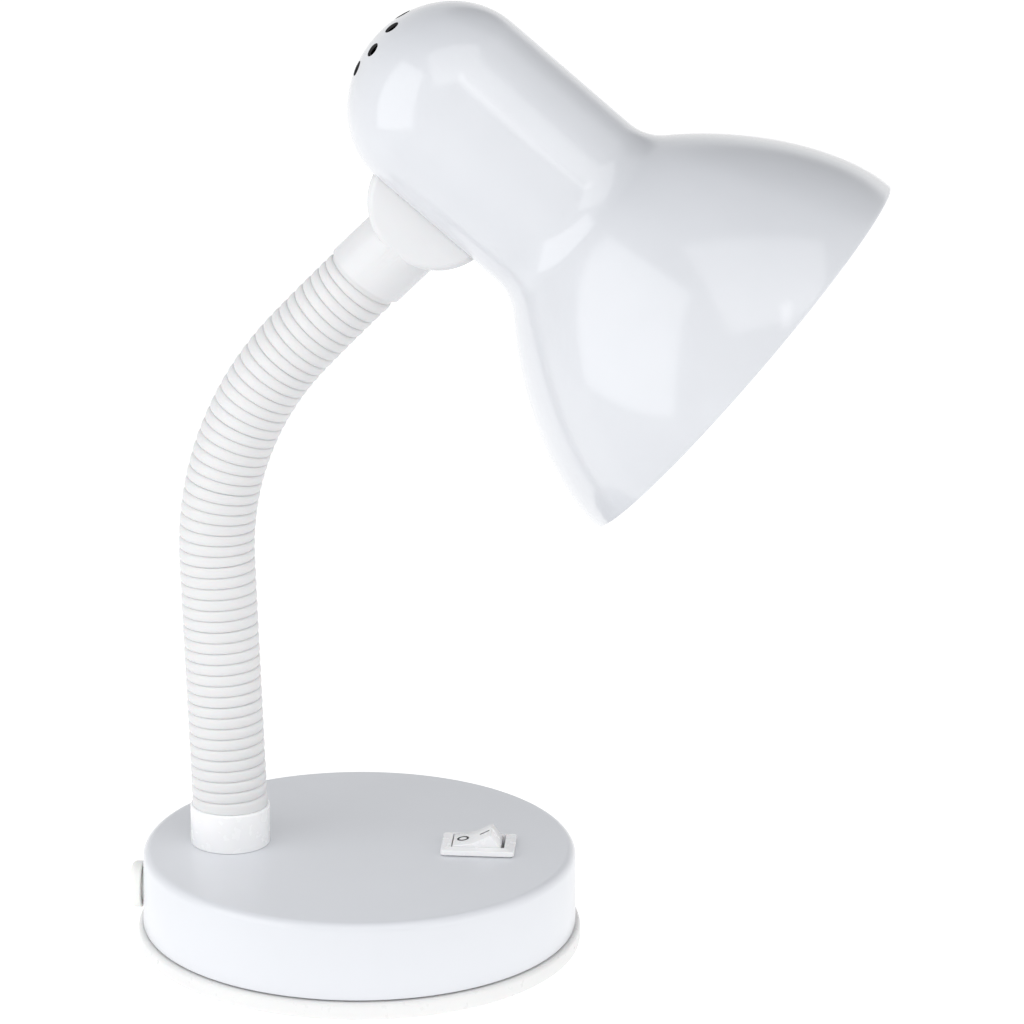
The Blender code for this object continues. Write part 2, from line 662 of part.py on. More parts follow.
plate_low = KNUCKLE_R + 0.0006
plate_high = plate_low + EAR_T
shade_in = SHADE_R - WALL
bracket = turned("head_bracket", rod(shade_in - GAP, plate_low, plate_high), MID_SIDES, closed=False)
settle(bracket, steel, head, on_axis, smooth=False)
ear_back = -EAR_W / 2.0
for side, tag in ((-1.0, "near"), (1.0, "far")):
    ear = block(f"ear_{tag}", (EAR_W, EAR_T, plate_low + EAR_T / 2.0 - ear_back),
                (-EAR_W / 2.0 + PIN_R + 0.0005, side * (ear_in + ear_out) / 2.0,
                 (plate_low + EAR_T / 2.0 + ear_back) / 2.0), where=cutters)
    add(bracket, tool_at(ear, head, HERE))
ear_bore = turned("ear_bore", rod(PIN_R + GAP / 2.0, -KNUCKLE_T, KNUCKLE_T), 24,
                  closed=False, where=cutters)
cut(bracket, tool_at(ear_bore, head, lying))
wire_window = block("wire_window", (0.010, 0.008, 0.01), (0.0, 0.0, plate_low), where=cutters)
cut(bracket, tool_at(wire_window, head, on_axis))

# flare: one smooth sweep from the cylinder to the rim
flare_start = (SHADE_R, PIVOT_TO_FLARE)
fillet_turn = FLARE_ANGLE
fillet_end = (SHADE_R + FLARE_FILLET * (1.0 - math.cos(fillet_turn)),
              PIVOT_TO_FLARE + FLARE_FILLET * math.sin(fillet_turn))
rim = (RIM_R, PIVOT_TO_RIM)
pull = 0.39 * math.hypot(rim[0] - fillet_end[0], rim[1] - fillet_end[1])
hand_a = (fillet_end[0] + pull * math.sin(fillet_turn), fillet_end[1] + pull * math.cos(fillet_turn))
hand_b = (rim[0], rim[1] - 0.62 * pull)


def flare_point(t):
    a, b, c, d = (1 - t) ** 3, 3 * t * (1 - t) ** 2, 3 * t * t * (1 - t), t ** 3
    return (a * fillet_end[0] + b * hand_a[0] + c * hand_b[0] + d * rim[0],
            a * fillet_end[1] + b * hand_a[1] + c * hand_b[1] + d * rim[1])


apex = -DOME_TO_PIVOT
dome_base = apex + DOME_DEPTH
outer_line = []
for i in range(8):
    a = QUARTER * i / 7.0
    outer_line.append((SHADE_R * math.sin(a), dome_base - DOME_DEPTH * math.cos(a)))
for i in range(4):
    a = fillet_turn * i / 3.0
    outer_line.append((SHADE_R + FLARE_FILLET * (1.0 - math.cos(a)),
                       PIVOT_TO_FLARE + FLARE_FILLET * math.sin(a)))
for i in range(1, 9):
    outer_line.append(flare_point(i / 8.0))

inner_line = []
for i, (r, z) in enumerate(outer_line):
    before = outer_line[max(i - 1, 0)]
    after = outer_line[min(i + 1, len(outer_line) - 1)]
    along = Vector((after[0] - before[0], after[1] - before[1])).normalized()
    if i == 0:
        along = Vector((1.0, 0.0))
    if i == len(outer_line) - 1:
        along = Vector((0.0, 1.0))
    inner_line.append((max(r - WALL * along.y, 0.0), z + WALL * along.x))
shade = turned("shade", inner_line + list(reversed(outer_line)), SIDES, closed=False)
settle(shade, enamel, head, on_axis, smooth=False)
side_depth = math.sqrt(shade_in ** 2 - half_t ** 2) - pivot_off
chord = math.sqrt(KNUCKLE_R ** 2 - side_depth ** 2)
slot = block("knuckle_slot", (SHADE_R, KNUCKLE_T + 2.0 * GAP, 2.0 * (chord + GAP)),
             (SHADE_R / 2.0 - KNUCKLE_FLAT / 2.0, 0.0, 0.0), where=cutters)
cut(shade, tool_at(slot, head, HERE))
for i in range(VENT_COUNT):
    a = VENT_TURN + 2.0 * math.pi * i / VENT_COUNT
    vent = turned(f"vent_{i}", rod(VENT_R, apex - 0.01, apex + 0.01), 16, closed=False,
                  where=cutters)
    cut(shade, tool_at(vent, head, on_axis @ shift(VENT_RING * math.cos(a),
                                                   VENT_RING * math.sin(a), 0.0)))

# ---------------------------------------------------------------- lampholder and bulb
holder_low = plate_high + GAP
holder_top = holder_low + HOLDER_L
thread_r = CAP_R + GAP
holder_bore = thread_r + THREAD_WALL + GAP
floor_top = holder_low + 0.0022
holder = turned("lampholder_body", [
    (0.0, floor_top), (holder_bore, floor_top), (holder_bore, holder_top),
    (HOLDER_R - 0.0012, holder_top), (HOLDER_R, holder_top - 0.0012),
    (HOLDER_R, holder_low + 0.0010), (HOLDER_R - 0.0010, holder_low), (0.0, holder_low)],
    MID_SIDES, closed=False)
settle(holder, black, head, on_axis, smooth=False)
collar_mid = holder_low + 0.62 * HOLDER_L
holder_ring = turned("lampholder_ring", ring(HOLDER_R + 0.0030, HOLDER_R + GAP,
                                             collar_mid - 0.0025, collar_mid + 0.0025, 0.0008), MID_SIDES)
settle(holder_ring, black, head, on_axis, smooth=False)
thread = turned("lampholder_thread", ring(thread_r + THREAD_WALL, thread_r,
                                          floor_top + 0.0020, holder_top - 0.0010), MID_SIDES)
settle(thread, brass, head, on_axis, smooth=False)
contact = turned("lampholder_contact", rod(0.0032, floor_top + GAP, floor_top + 0.0011), 20,
                 closed=False)
settle(contact, brass, head, on_axis, smooth=False)

bulb_low = floor_top + 0.0011 + GAP
bulb_high = bulb_low + BULB_L
cap_low = bulb_low + 0.0026
cap_top = holder_top + 0.0012
cap = turned("bulb_cap", [
    (0.0, cap_top), (CAP_R, cap_top), (CAP_R, cap_low + 0.0020), (0.0062, cap_low),
    (0.0046, cap_low - 0.0014), (0.0040, bulb_low), (0.0, bulb_low)], MID_SIDES, closed=False)
settle(cap, steel, head, on_axis, smooth=False)
globe_mid = bulb_high - BULB_R
neck_r = CAP_R - 0.0010
neck_angle = math.asin(neck_r / BULB_R)
globe = [(0.0, bulb_high)]
for i in range(1, 11):
    a = (math.pi - neck_angle) * i / 10.0
    globe.append((BULB_R * math.sin(a), globe_mid + BULB_R * math.cos(a)))
globe += [(neck_r, cap_top + GAP), (0.0, cap_top + GAP)]
bulb = turned("bulb_envelope", globe, MID_SIDES, closed=False)
settle(bulb, opal, head, on_axis, smooth=False)

for index, side in enumerate((-1.0, 1.0), start=1):
    spot = on_axis @ shift(0.0, side * 0.0118, 0.0)
    screw_top = floor_top - 0.0006
    screw = turned(f"holder_screw_{index}", [
        (0.0, screw_top), (SCREW_R, screw_top), (SCREW_R, plate_low - GAP),
        (SCREW_HEAD_R, plate_low - GAP), (SCREW_HEAD_R, plate_low - 0.0014),
        (SCREW_HEAD_R - 0.0006, plate_low - 0.0019), (0.0, plate_low - 0.0019)], 20,
        closed=False)
    settle(screw, steel, head, spot, smooth=False)
    hole = turned(f"holder_screw_hole_{index}", rod(SCREW_R + GAP, plate_low - EAR_T,
                                                    screw_top + GAP), 16,
                  closed=False, where=cutters)
    tool_at(hole, head, spot)
    cut(bracket, hole)
    cut(holder, hole)
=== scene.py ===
"""Gooseneck desk lamp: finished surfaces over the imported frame, on a pale floor."""

import math

import bmesh
import bpy
import numpy as np
from mathutils import Matrix, Vector


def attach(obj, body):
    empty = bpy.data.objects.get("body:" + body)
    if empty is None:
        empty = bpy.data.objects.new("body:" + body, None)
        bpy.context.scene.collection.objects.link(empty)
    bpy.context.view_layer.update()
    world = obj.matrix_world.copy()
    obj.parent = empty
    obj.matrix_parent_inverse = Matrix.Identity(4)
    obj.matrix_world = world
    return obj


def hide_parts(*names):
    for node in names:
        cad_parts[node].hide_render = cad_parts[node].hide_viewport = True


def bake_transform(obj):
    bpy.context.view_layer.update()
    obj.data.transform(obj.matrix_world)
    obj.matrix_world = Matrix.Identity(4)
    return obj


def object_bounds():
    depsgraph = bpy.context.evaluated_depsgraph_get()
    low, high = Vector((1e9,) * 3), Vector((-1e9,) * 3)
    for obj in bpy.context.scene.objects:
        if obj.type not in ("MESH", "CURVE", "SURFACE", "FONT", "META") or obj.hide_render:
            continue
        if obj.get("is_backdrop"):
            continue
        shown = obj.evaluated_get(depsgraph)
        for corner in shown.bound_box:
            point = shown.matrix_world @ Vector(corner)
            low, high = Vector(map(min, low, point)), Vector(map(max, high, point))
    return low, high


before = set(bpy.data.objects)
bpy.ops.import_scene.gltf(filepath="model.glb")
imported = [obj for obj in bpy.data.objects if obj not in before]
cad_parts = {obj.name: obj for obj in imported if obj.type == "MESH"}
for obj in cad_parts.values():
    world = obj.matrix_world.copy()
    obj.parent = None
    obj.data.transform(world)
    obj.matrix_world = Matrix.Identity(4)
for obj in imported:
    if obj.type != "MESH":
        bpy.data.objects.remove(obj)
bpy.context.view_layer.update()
scene = bpy.context.scene
scene.view_settings.view_transform = "Standard"

# ---------------------------------------------------------------- sizes, metres
GAP = 0.0003
WALL = 0.0009
BASE_R = 0.0635
RING_TOP = 0.0058
RING_LIFT = 0.0008
PAD_T = 0.0012
SHELL_R = 0.0623
SHELL_TOP_R = 0.0619
SHELL_LOW = 0.0063
SHELL_TOP = 0.0285
SHELL_EDGE = 0.0025
BUSHING_R = 0.0067
BUSHING_PROUD = 0.0034
BUSHING_BORE_R = 0.0031
BUSHING_SHANK_R = 0.0045
BUSHING_Z = 0.0143
SWITCH_X = 0.0342
BEZEL_L = 0.021
BEZEL_W = 0.015
BEZEL_T = 0.002
ROCKER_HALF = 0.0073
ROCKER_TIP = 0.0058
ROCKER_THROW = math.radians(35.0)
ROCKER_END_H = 0.0059
ROCKER_MID_H = 0.0050
NECK_X = -0.0372
NECK_TURN = math.radians(-4.8)
FERRULE_R = 0.0114
FERRULE_TOP = 0.0401
SLEEVE_R = 0.01075
SLEEVE_BORE_R = 0.0070
HOSE_R = 0.0065
NECK_LEAN = math.radians(-2.4)
NECK_STRAIGHT = 0.0729
BEND_R = 0.0905
BEND_END = math.radians(42.3)
EASE_R = 0.600
EASE_END = math.radians(44.8)
MOUTH_SKEW = math.radians(8.0)
NECK_LINKS = 8
COLLAR_R = 0.0112
KNUCKLE_R = 0.0186
KNUCKLE_T = 0.0226
KNUCKLE_REACH = 0.0326
KNUCKLE_SHIFT = 0.0018
KNUCKLE_FLAT = 0.0090
KNUCKLE_EDGE = 0.0024
PIN_R = 0.0015
SCREW_HEAD_R = 0.0026
SHADE_DOWN = math.radians(39.4)
SHADE_R = 0.0282
RIM_R = 0.0616
DOME_DEPTH = 0.026
DOME_TO_PIVOT = 0.0420
PIVOT_TO_FLARE = 0.0262
PIVOT_TO_RIM = 0.0913
PIVOT_OFF = 0.0216
FLARE_ANGLE = math.radians(46.0)
FLARE_FILLET = 0.013
VENT_COUNT = 8
VENT_TURN = math.radians(42.0)
VENT_RING = 0.0105
VENT_R = 0.0021
HOLDER_R = 0.0185
HOLDER_L = 0.0290
CAP_R = 0.0132
BULB_R = 0.0225
BULB_L = 0.068
SKIN = 0.00010              # turned skins lie this far inside the solid
PLATE_EDGE = 0.0012         # rounded edge of the base ring
LIP_R = 0.0600              # rib of the base plate, inside the shell
LIP_W = 0.0016
LIP_H = 0.0032
PAD_R = 0.0570
BOLT_HOLE_R = 0.0027
BOLT_HEAD_HOLE_R = 0.0053
BOLT_HEAD_HOLE_TOP = 0.0044
STEM_HOLE_R = 0.0053
FOOT_EDGE = 0.0007          # rounded upper edge of the foot collar
FOOT_LIFT = 0.00004         # foot collar stands this far above the drum
HOSE_PLAY = 0.0009
ROCKER_W = BEZEL_W - 0.0050
ROCKER_PIVOT_DROP = 0.0015
MARK_LIFT = 0.000025
MARK_SINK = 0.00003
RIBS = 53
RIB_DEPTH = 0.00080
RIB_CROWN = 2.6             # higher is flatter, with a narrower groove
SLEEVE_SIDES = 72
MOUTH_STEP = 0.00055        # sleeve is this much thinner under the collar mouth
MOUTH_RUN = 0.009           # last stretch of sleeve, which leans over to the mouth
FOOT_RUN = 0.004            # first stretch, which leans back to the foot collar
BLEND_INSET = 0.0012
KNUCKLE_WALL = 0.0020
SCREW_INSET = 0.0034
SCREW_HEAD_DEPTH = 0.0015
WIRE_R = 0.0028
SOCKET = 0.0083             # hose socket in the knuckle collar
CUT = 0.08                  # size of the blocks that trim the knuckle
DOME_SHADE_END = 0.015          # painted shade inside the dome reaches this far along the shade axis
THREAD_PITCH = 0.0036
THREAD_DEPTH = 0.0005
FLOOR_HALF = 6.0
FLOOR_GLOW = 1.26
QUARTER = math.pi / 2.0


# ---------------------------------------------------------------- places
def shift(x, y, z):
    return Matrix.Translation((x, y, z))


def turn(angle, axis):
    return Matrix.Rotation(angle, 4, axis)


def neck_at(run):
    """Point in the neck plane and the angle from upright, at a length along the neck."""
    x, z, lean = 0.0, FERRULE_TOP, NECK_LEAN
    step = min(run, NECK_STRAIGHT)
    x, z = x + step * math.sin(lean), z + step * math.cos(lean)
    run = run - step
    for radius, end in ((BEND_R, BEND_END), (EASE_R, EASE_END)):
        full = radius * (end - lean)
        part = min(max(run, 0.0), full)
        after = lean + part / radius
        x = x + radius * (math.cos(lean) - math.cos(after))
        z = z + radius * (math.sin(after) - math.sin(lean))
        lean = after
        run = run - part
    if run > 0.0:
        x, z = x + run * math.sin(lean), z + run * math.cos(lean)
    return x, z, lean


NECK_LENGTH = NECK_STRAIGHT + BEND_R * (BEND_END - NECK_LEAN) + EASE_R * (EASE_END - BEND_END)
PITCH = NECK_LENGTH / NECK_LINKS
end_x, end_z, end_lean = neck_at(NECK_LENGTH)

HERE = Matrix.Identity(4)
ROOT = shift(NECK_X, 0.0, 0.0) @ turn(NECK_TURN, "Z")
BUSHING = shift(0.0, 0.0, BUSHING_Z) @ turn(-QUARTER, "Y")
SWITCH = shift(SWITCH_X, 0.0, 0.0)
ROCKER = shift(SWITCH_X, 0.0, SHELL_TOP - ROCKER_PIVOT_DROP) @ turn(-ROCKER_THROW / 2.0, "Y")
KNUCKLE = (ROOT @ shift(end_x, 0.0, end_z) @ turn(end_lean, "Y")
           @ shift(-KNUCKLE_SHIFT, 0.0, KNUCKLE_REACH))
HEAD = KNUCKLE @ turn(QUARTER + SHADE_DOWN - end_lean, "Y")
AXIS = HEAD @ shift(-PIVOT_OFF, 0.0, 0.0)


# ---------------------------------------------------------------- mesh tools
def arc(cx, cz, radius, start, end, count):
    return [(cx + radius * math.cos(start + (end - start) * i / count),
             cz + radius * math.sin(start + (end - start) * i / count))
            for i in range(count + 1)]


def rounded(points, radii, steps=6):
    """Round the corners of a closed outline."""
    out = []
    count = len(points)
    for i, radius in enumerate(radii):
        p = np.array(points[i], float)
        a = np.array(points[i - 1], float) - p
        b = np.array(points[(i + 1) % count], float) - p
        la, lb = np.linalg.norm(a), np.linalg.norm(b)
        a, b = a / la, b / lb
        half = math.acos(max(-1.0, min(1.0, float(a @ b)))) / 2.0
        reach = min(radius / math.tan(half), 0.49 * la, 0.49 * lb)
        true = reach * math.tan(half)
        centre = p + (a + b) / np.linalg.norm(a + b) * true / math.sin(half)
        v0, v1 = p + a * reach - centre, p + b * reach - centre
        for k in range(steps + 1):
            t = k / steps
            v = v0 * (1.0 - t) + v1 * t
            out.append(tuple(centre + v / np.linalg.norm(v) * true))
    return out


def make(name, points, faces, place=HERE, crease=32.0):
    m = np.array(place)
    points = np.asarray(points, float) @ m[:3, :3].T + m[:3, 3]
    mesh = bpy.data.meshes.new(name)
    mesh.from_pydata(points.tolist(), [], faces)
    work = bmesh.new()
    work.from_mesh(mesh)
    bmesh.ops.recalc_face_normals(work, faces=work.faces)
    work.to_mesh(mesh)
    work.free()
    smooth(mesh, crease)
    obj = bpy.data.objects.new(name, mesh)
    scene.collection.objects.link(obj)
    return obj


def smooth(mesh, crease):
    mesh.polygons.foreach_set("use_smooth", [True] * len(mesh.polygons))
    mesh.set_sharp_from_angle(angle=math.radians(crease))
    mesh.update()


def grid_faces(rows, closed):
    """Faces between rows of point numbers; a row of one point is a pole."""
    faces = []
    pairs = list(zip(rows, rows[1:]))
    if closed:
        pairs.append((rows[-1], rows[0]))
    for low, high in pairs:
        count = max(len(low), len(high))
        for k in range(count):
            n = (k + 1) % count
            if len(low) == 1:
                faces.append((low[0], high[n], high[k]))
            elif len(high) == 1:
                faces.append((low[k], low[n], high[0]))
            else:
                faces.append((low[k], low[n], high[n], high[k]))
    return faces


def lathe(name, profile, place=HERE, sides=128, wave=None, closed=None, crease=32.0):
    """Turn a profile of (radius, height) points about local Z."""
    points, rows = [], []
    for r, z in profile:
        if r < 1e-7:
            rows.append([len(points)])
            points.append((0.0, 0.0, z))
            continue
        rows.append(list(range(len(points), len(points) + sides)))
        for k in range(sides):
            a = 2.0 * math.pi * k / sides
            out = wave(r, z, a) if wave else r
            points.append((out * math.cos(a), out * math.sin(a), z))
    if closed is None:
        closed = profile[0][0] > 1e-7
    return make(name, points, grid_faces(rows, closed), place, crease)


def loft(name, loops, place=HERE, crease=32.0, closed=False):
    """Skin a stack of equal loops and close its two ends."""
    points, rows = [], []
    for loop in loops:
        rows.append(list(range(len(points), len(points) + len(loop))))
        points.extend(loop)
    faces = grid_faces(rows, closed)
    if not closed:
        for row in (rows[0], rows[-1]):
            middle = len(points)
            points.append(tuple(np.mean([points[i] for i in row], axis=0)))
            for k, i in enumerate(row):
                faces.append((i, row[(k + 1) % len(row)], middle))
    return make(name, points, faces, place, crease)


def slab(length, width, corner, z, steps=6):
    """A rounded rectangle at a height."""
    l, w = length / 2.0, width / 2.0
    loop = rounded([(-l, -w), (l, -w), (l, w), (-l, w)], [corner] * 4, steps)
    return [(x, y, z) for x, y in loop]


def box_tool(size, centre, place):
    x, y, z = (s / 2.0 for s in size)
    corners = [(i * x + centre[0], j * y + centre[1], k * z + centre[2])
               for i in (-1, 1) for j in (-1, 1) for k in (-1, 1)]
    faces = [(0, 1, 3, 2), (4, 6, 7, 5), (0, 4, 5, 1), (2, 3, 7, 6), (0, 2, 6, 4), (1, 5, 7, 3)]
    return make("tool", corners, faces, place)


def rod_tool(radius, low, high, place, sides=48):
    clear = turn(0.011 + 3.7 * radius, "Z")  # keeps its edges off those of the cut piece
    return lathe("tool", [(0.0, high), (radius, high), (radius, low), (0.0, low)], place @ clear, sides)


def combine(obj, tools, operation="DIFFERENCE"):
    """Apply each tool to the object in turn, and remove the tool."""
    for tool in tools:
        step = obj.modifiers.new("Shape", "BOOLEAN")
        step.operation = operation
        step.solver = "EXACT"
        step.object = tool
        ready = obj.evaluated_get(bpy.context.evaluated_depsgraph_get())
        mesh = bpy.data.meshes.new_from_object(ready)
        obj.modifiers.clear()
        old = obj.data
        obj.data = mesh
        bpy.data.meshes.remove(old)
        bpy.data.objects.remove(tool)
    smooth(obj.data, 32.0)
    return obj


def true_shading(obj, surfaces):
    """Shade a cut mesh as the turned surfaces that it was cut from."""
    mesh = obj.data
    count = len(mesh.loops)
    corner = np.empty(count * 3, np.float32)
    mesh.corner_normals.foreach_get("vector", corner)
    normals = corner.reshape(-1, 3).astype(float)
    index = np.empty(count, np.int32)
    mesh.loops.foreach_get("vertex_index", index)
    spots = np.empty(len(mesh.vertices) * 3, np.float32)
    mesh.vertices.foreach_get("co", spots)
    spots = spots.reshape(-1, 3).astype(float)[index]
    facing = np.empty(len(mesh.polygons) * 3, np.float32)
    mesh.polygons.foreach_get("normal", facing)
    total = np.empty(len(mesh.polygons), np.int32)
    mesh.polygons.foreach_get("loop_total", total)
    facing = np.repeat(facing.reshape(-1, 3).astype(float), total, axis=0)
    best = np.full(count, 0.00006)
    for place, profile in surfaces:
        m = np.array(place)
        p = np.array(profile, float)
        if profile[0][0] > 1e-7:
            p = np.vstack([p, p[:1]])
        along = p[1:] - p[:-1]
        length = np.linalg.norm(along, axis=1)
        along, start, length = along[length > 1e-9], p[:-1][length > 1e-9], length[length > 1e-9]
        flat = np.stack([-along[:, 1], along[:, 0]], 1) / length[:, None]
        before, after = np.roll(flat, 1, 0), np.roll(flat, -1, 0)
        if profile[0][0] <= 1e-7:
            before[0], after[-1] = flat[0], flat[-1]
        first = np.where(((before * flat).sum(1) > 0.86)[:, None], before + flat, flat)
        last = np.where(((after * flat).sum(1) > 0.86)[:, None], after + flat, flat)
        first = first / np.linalg.norm(first, axis=1)[:, None]
        last = last / np.linalg.norm(last, axis=1)[:, None]
        for a in range(0, count, 20000):
            part = slice(a, min(a + 20000, count))
            local = (spots[part] - m[:3, 3]) @ m[:3, :3]
            face = facing[part] @ m[:3, :3]
            r = np.hypot(local[:, 0], local[:, 1])
            out = local[:, :2] / np.maximum(r, 1e-9)[:, None]
            q = np.stack([r, local[:, 2]], 1)
            rel = q[:, None, :] - start[None]
            t = np.clip((rel * along[None]).sum(2) / (length ** 2)[None], 0.0, 1.0)
            off = np.linalg.norm(rel - t[..., None] * along[None], axis=2)
            face2 = np.stack([(face[:, :2] * out).sum(1), face[:, 2]], 1)
            agree = face2 @ flat.T
            off = off + np.where(agree > 0.9, 0.0, 1.0)
            pick = off.argmin(1)
            rows = np.arange(len(pick))
            share = t[rows, pick][:, None]
            n2 = first[pick] * (1.0 - share) + last[pick] * share
            n2 = n2 / np.linalg.norm(n2, axis=1)[:, None]
            n3 = np.column_stack([out * n2[:, :1], n2[:, 1]]) @ m[:3, :3].T
            better = off[rows, pick] < best[part]
            best[part] = np.where(better, off[rows, pick], best[part])
            normals[part] = np.where(better[:, None], n3, normals[part])
    mesh.normals_split_custom_set(normals.tolist())
    return obj


# ---------------------------------------------------------------- finishes
def finish(name, colour, rough, grain, depth, metal=0.0, coat=0.0, mottle=0.03, wear=0.12,
           sub=0.0, pits=0.0, glow=0.0, haze=0.12):
    """A shaded surface with a fine grain, a faint cloudiness and an uneven gloss."""
    mat = bpy.data.materials.new(name)
    mat.use_nodes = True
    tree = mat.node_tree
    shader = tree.nodes["Principled BSDF"]
    spots = tree.nodes.new("ShaderNodeTexCoord")

    def noise(scale, detail):
        node = tree.nodes.new("ShaderNodeTexNoise")
        node.inputs["Scale"].default_value = scale
        node.inputs["Detail"].default_value = detail
        tree.links.new(spots.outputs["Object"], node.inputs["Vector"])
        return node.outputs["Fac"]

    def between(source, low, high):
        node = tree.nodes.new("ShaderNodeMapRange")
        node.inputs["From Min"].default_value = 0.3
        node.inputs["From Max"].default_value = 0.7
        node.inputs["To Min"].default_value = low
        node.inputs["To Max"].default_value = high
        tree.links.new(source, node.inputs["Value"])
        return node.outputs["Result"]

    cloud = noise(38.0, 3.0)
    tint = tree.nodes.new("ShaderNodeMix")
    tint.data_type = "RGBA"
    tint.inputs["A"].default_value = (*[c * (1.0 - mottle) for c in colour], 1.0)
    tint.inputs["B"].default_value = (*colour, 1.0)
    tree.links.new(between(cloud, 0.0, 1.0), tint.inputs["Factor"])
    tree.links.new(tint.outputs["Result"], shader.inputs["Base Color"])
    tree.links.new(between(noise(grain * 0.4, 4.0), rough * (1.0 - wear), rough * (1.0 + wear)),
                   shader.inputs["Roughness"])
    height = noise(grain, 3.0)
    if pits:
        cells = tree.nodes.new("ShaderNodeTexVoronoi")
        cells.inputs["Scale"].default_value = pits
        tree.links.new(spots.outputs["Object"], cells.inputs["Vector"])
        both = tree.nodes.new("ShaderNodeMath")
        both.operation = "ADD"
        tree.links.new(height, both.inputs[0])
        tree.links.new(cells.outputs["Distance"], both.inputs[1])
        height = both.outputs[0]
    bump = tree.nodes.new("ShaderNodeBump")
    bump.inputs["Strength"].default_value = 1.0
    bump.inputs["Distance"].default_value = depth
    tree.links.new(height, bump.inputs["Height"])
    tree.links.new(bump.outputs["Normal"], shader.inputs["Normal"])
    shader.inputs["Metallic"].default_value = metal
    shader.inputs["Coat Weight"].default_value = coat
    shader.inputs["Coat Roughness"].default_value = haze
    shader.inputs["Subsurface Weight"].default_value = sub
    shader.inputs["Subsurface Scale"].default_value = 0.002
    if glow:
        shader.inputs["Emission Color"].default_value = (*colour, 1.0)
        shader.inputs["Emission Strength"].default_value = glow
    return mat


enamel = finish("enamel", (0.695, 0.71, 0.745), 0.16, 420.0, 0.000005, coat=1.0)
# The drum wears the shade's white enamel with a duller gloss, and a lighter colour that is painted light
# on the base top.
lit_drum_enamel = finish("lit_drum_enamel", (0.745, 0.76, 0.795), 0.30, 420.0, 0.0000015, coat=0.6, mottle=0.012,
                     wear=0.05, haze=0.24)
ring_white = finish("ring_white", (0.80, 0.80, 0.795), 0.30, 900.0, 0.000008, sub=0.05)
# Same white gloss plastic as the knuckle, with a lighter colour that is painted light for the collar,
# bezel and rocker by the base.
lit_foot_white = finish("lit_foot_white", (0.92, 0.92, 0.93), 0.26, 800.0, 0.000006, coat=0.10, sub=0.05)
part_white = finish("part_white", (0.76, 0.763, 0.775), 0.24, 800.0, 0.000006, coat=0.10, sub=0.05)
satin_white = finish("satin_white", (0.75, 0.75, 0.753), 0.38, 1400.0, 0.000012, sub=0.10)
bushing_white = finish("bushing_white", (0.93, 0.94, 0.90), 0.48, 1200.0, 0.000015, sub=0.10)
black_plastic = finish("black_plastic", (0.022, 0.021, 0.020), 0.36, 900.0, 0.000015, mottle=0.3)
zinc = finish("zinc", (0.62, 0.63, 0.64), 0.30, 700.0, 0.000010, metal=1.0, mottle=0.12, wear=0.3)
iron = finish("iron", (0.10, 0.10, 0.11), 0.62, 500.0, 0.00010, metal=0.6, mottle=0.35)
brass = finish("brass", (0.74, 0.56, 0.26), 0.26, 700.0, 0.000008, metal=1.0, mottle=0.12, wear=0.3)
foam = finish("foam", (0.055, 0.055, 0.058), 0.85, 1500.0, 0.00010, mottle=0.35, pits=1400.0)
opal = finish("opal", (0.90, 0.90, 0.885), 0.16, 600.0, 0.000004, coat=0.3, sub=0.25)
# near-black inside of the dome behind the bracket: painted shade that makes the vents look dark
painted_dome_shade = finish("painted_dome_shade", (0.030, 0.030, 0.032), 0.60, 600.0, 0.00003, mottle=0.3)
ink = finish("ink", (0.016, 0.016, 0.018), 0.45, 2000.0, 0.000004, mottle=0.3)


def wear_finish(obj, mat):
    obj.data.materials.clear()
    obj.data.materials.append(mat)
    return obj


def put(obj, mat, body, slot_name, *nodes):
    """Give a finished piece its material, its body and the nodes that it stands for."""
    wear_finish(obj, mat)
    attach(obj, body)
    if nodes:
        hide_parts(*nodes)
    return obj


# ---------------------------------------------------------------- base
shell_profile = [(0.0, SHELL_TOP)]
shell_profile += arc(SHELL_TOP_R - SHELL_EDGE, SHELL_TOP - SHELL_EDGE, SHELL_EDGE, QUARTER, 0.0, 14)
shell_profile += [(SHELL_R - 0.0002, SHELL_LOW + 0.0003), (SHELL_R - 0.0003, SHELL_LOW),
                  (SHELL_R - WALL, SHELL_LOW)]
shell_profile += arc(SHELL_TOP_R - SHELL_EDGE, SHELL_TOP - SHELL_EDGE, SHELL_EDGE - WALL,
                     0.0, QUARTER, 6)
shell_profile += [(0.0, SHELL_TOP - WALL)]
shell = lathe("base_drum", shell_profile, sides=256)
combine(shell, [
    box_tool((BEZEL_L - 0.0012, BEZEL_W - 0.0015, 0.01), (0.0, 0.0, SHELL_TOP), SWITCH),
    rod_tool(BUSHING_SHANK_R + GAP, SHELL_R - 0.006, SHELL_R + 0.003, BUSHING),
    rod_tool(STEM_HOLE_R, SHELL_TOP - 0.006, SHELL_TOP + 0.006, ROOT)])
true_shading(shell, [(HERE, shell_profile)])
put(shell, lit_drum_enamel, "base", "white_enamel", "base_shell")

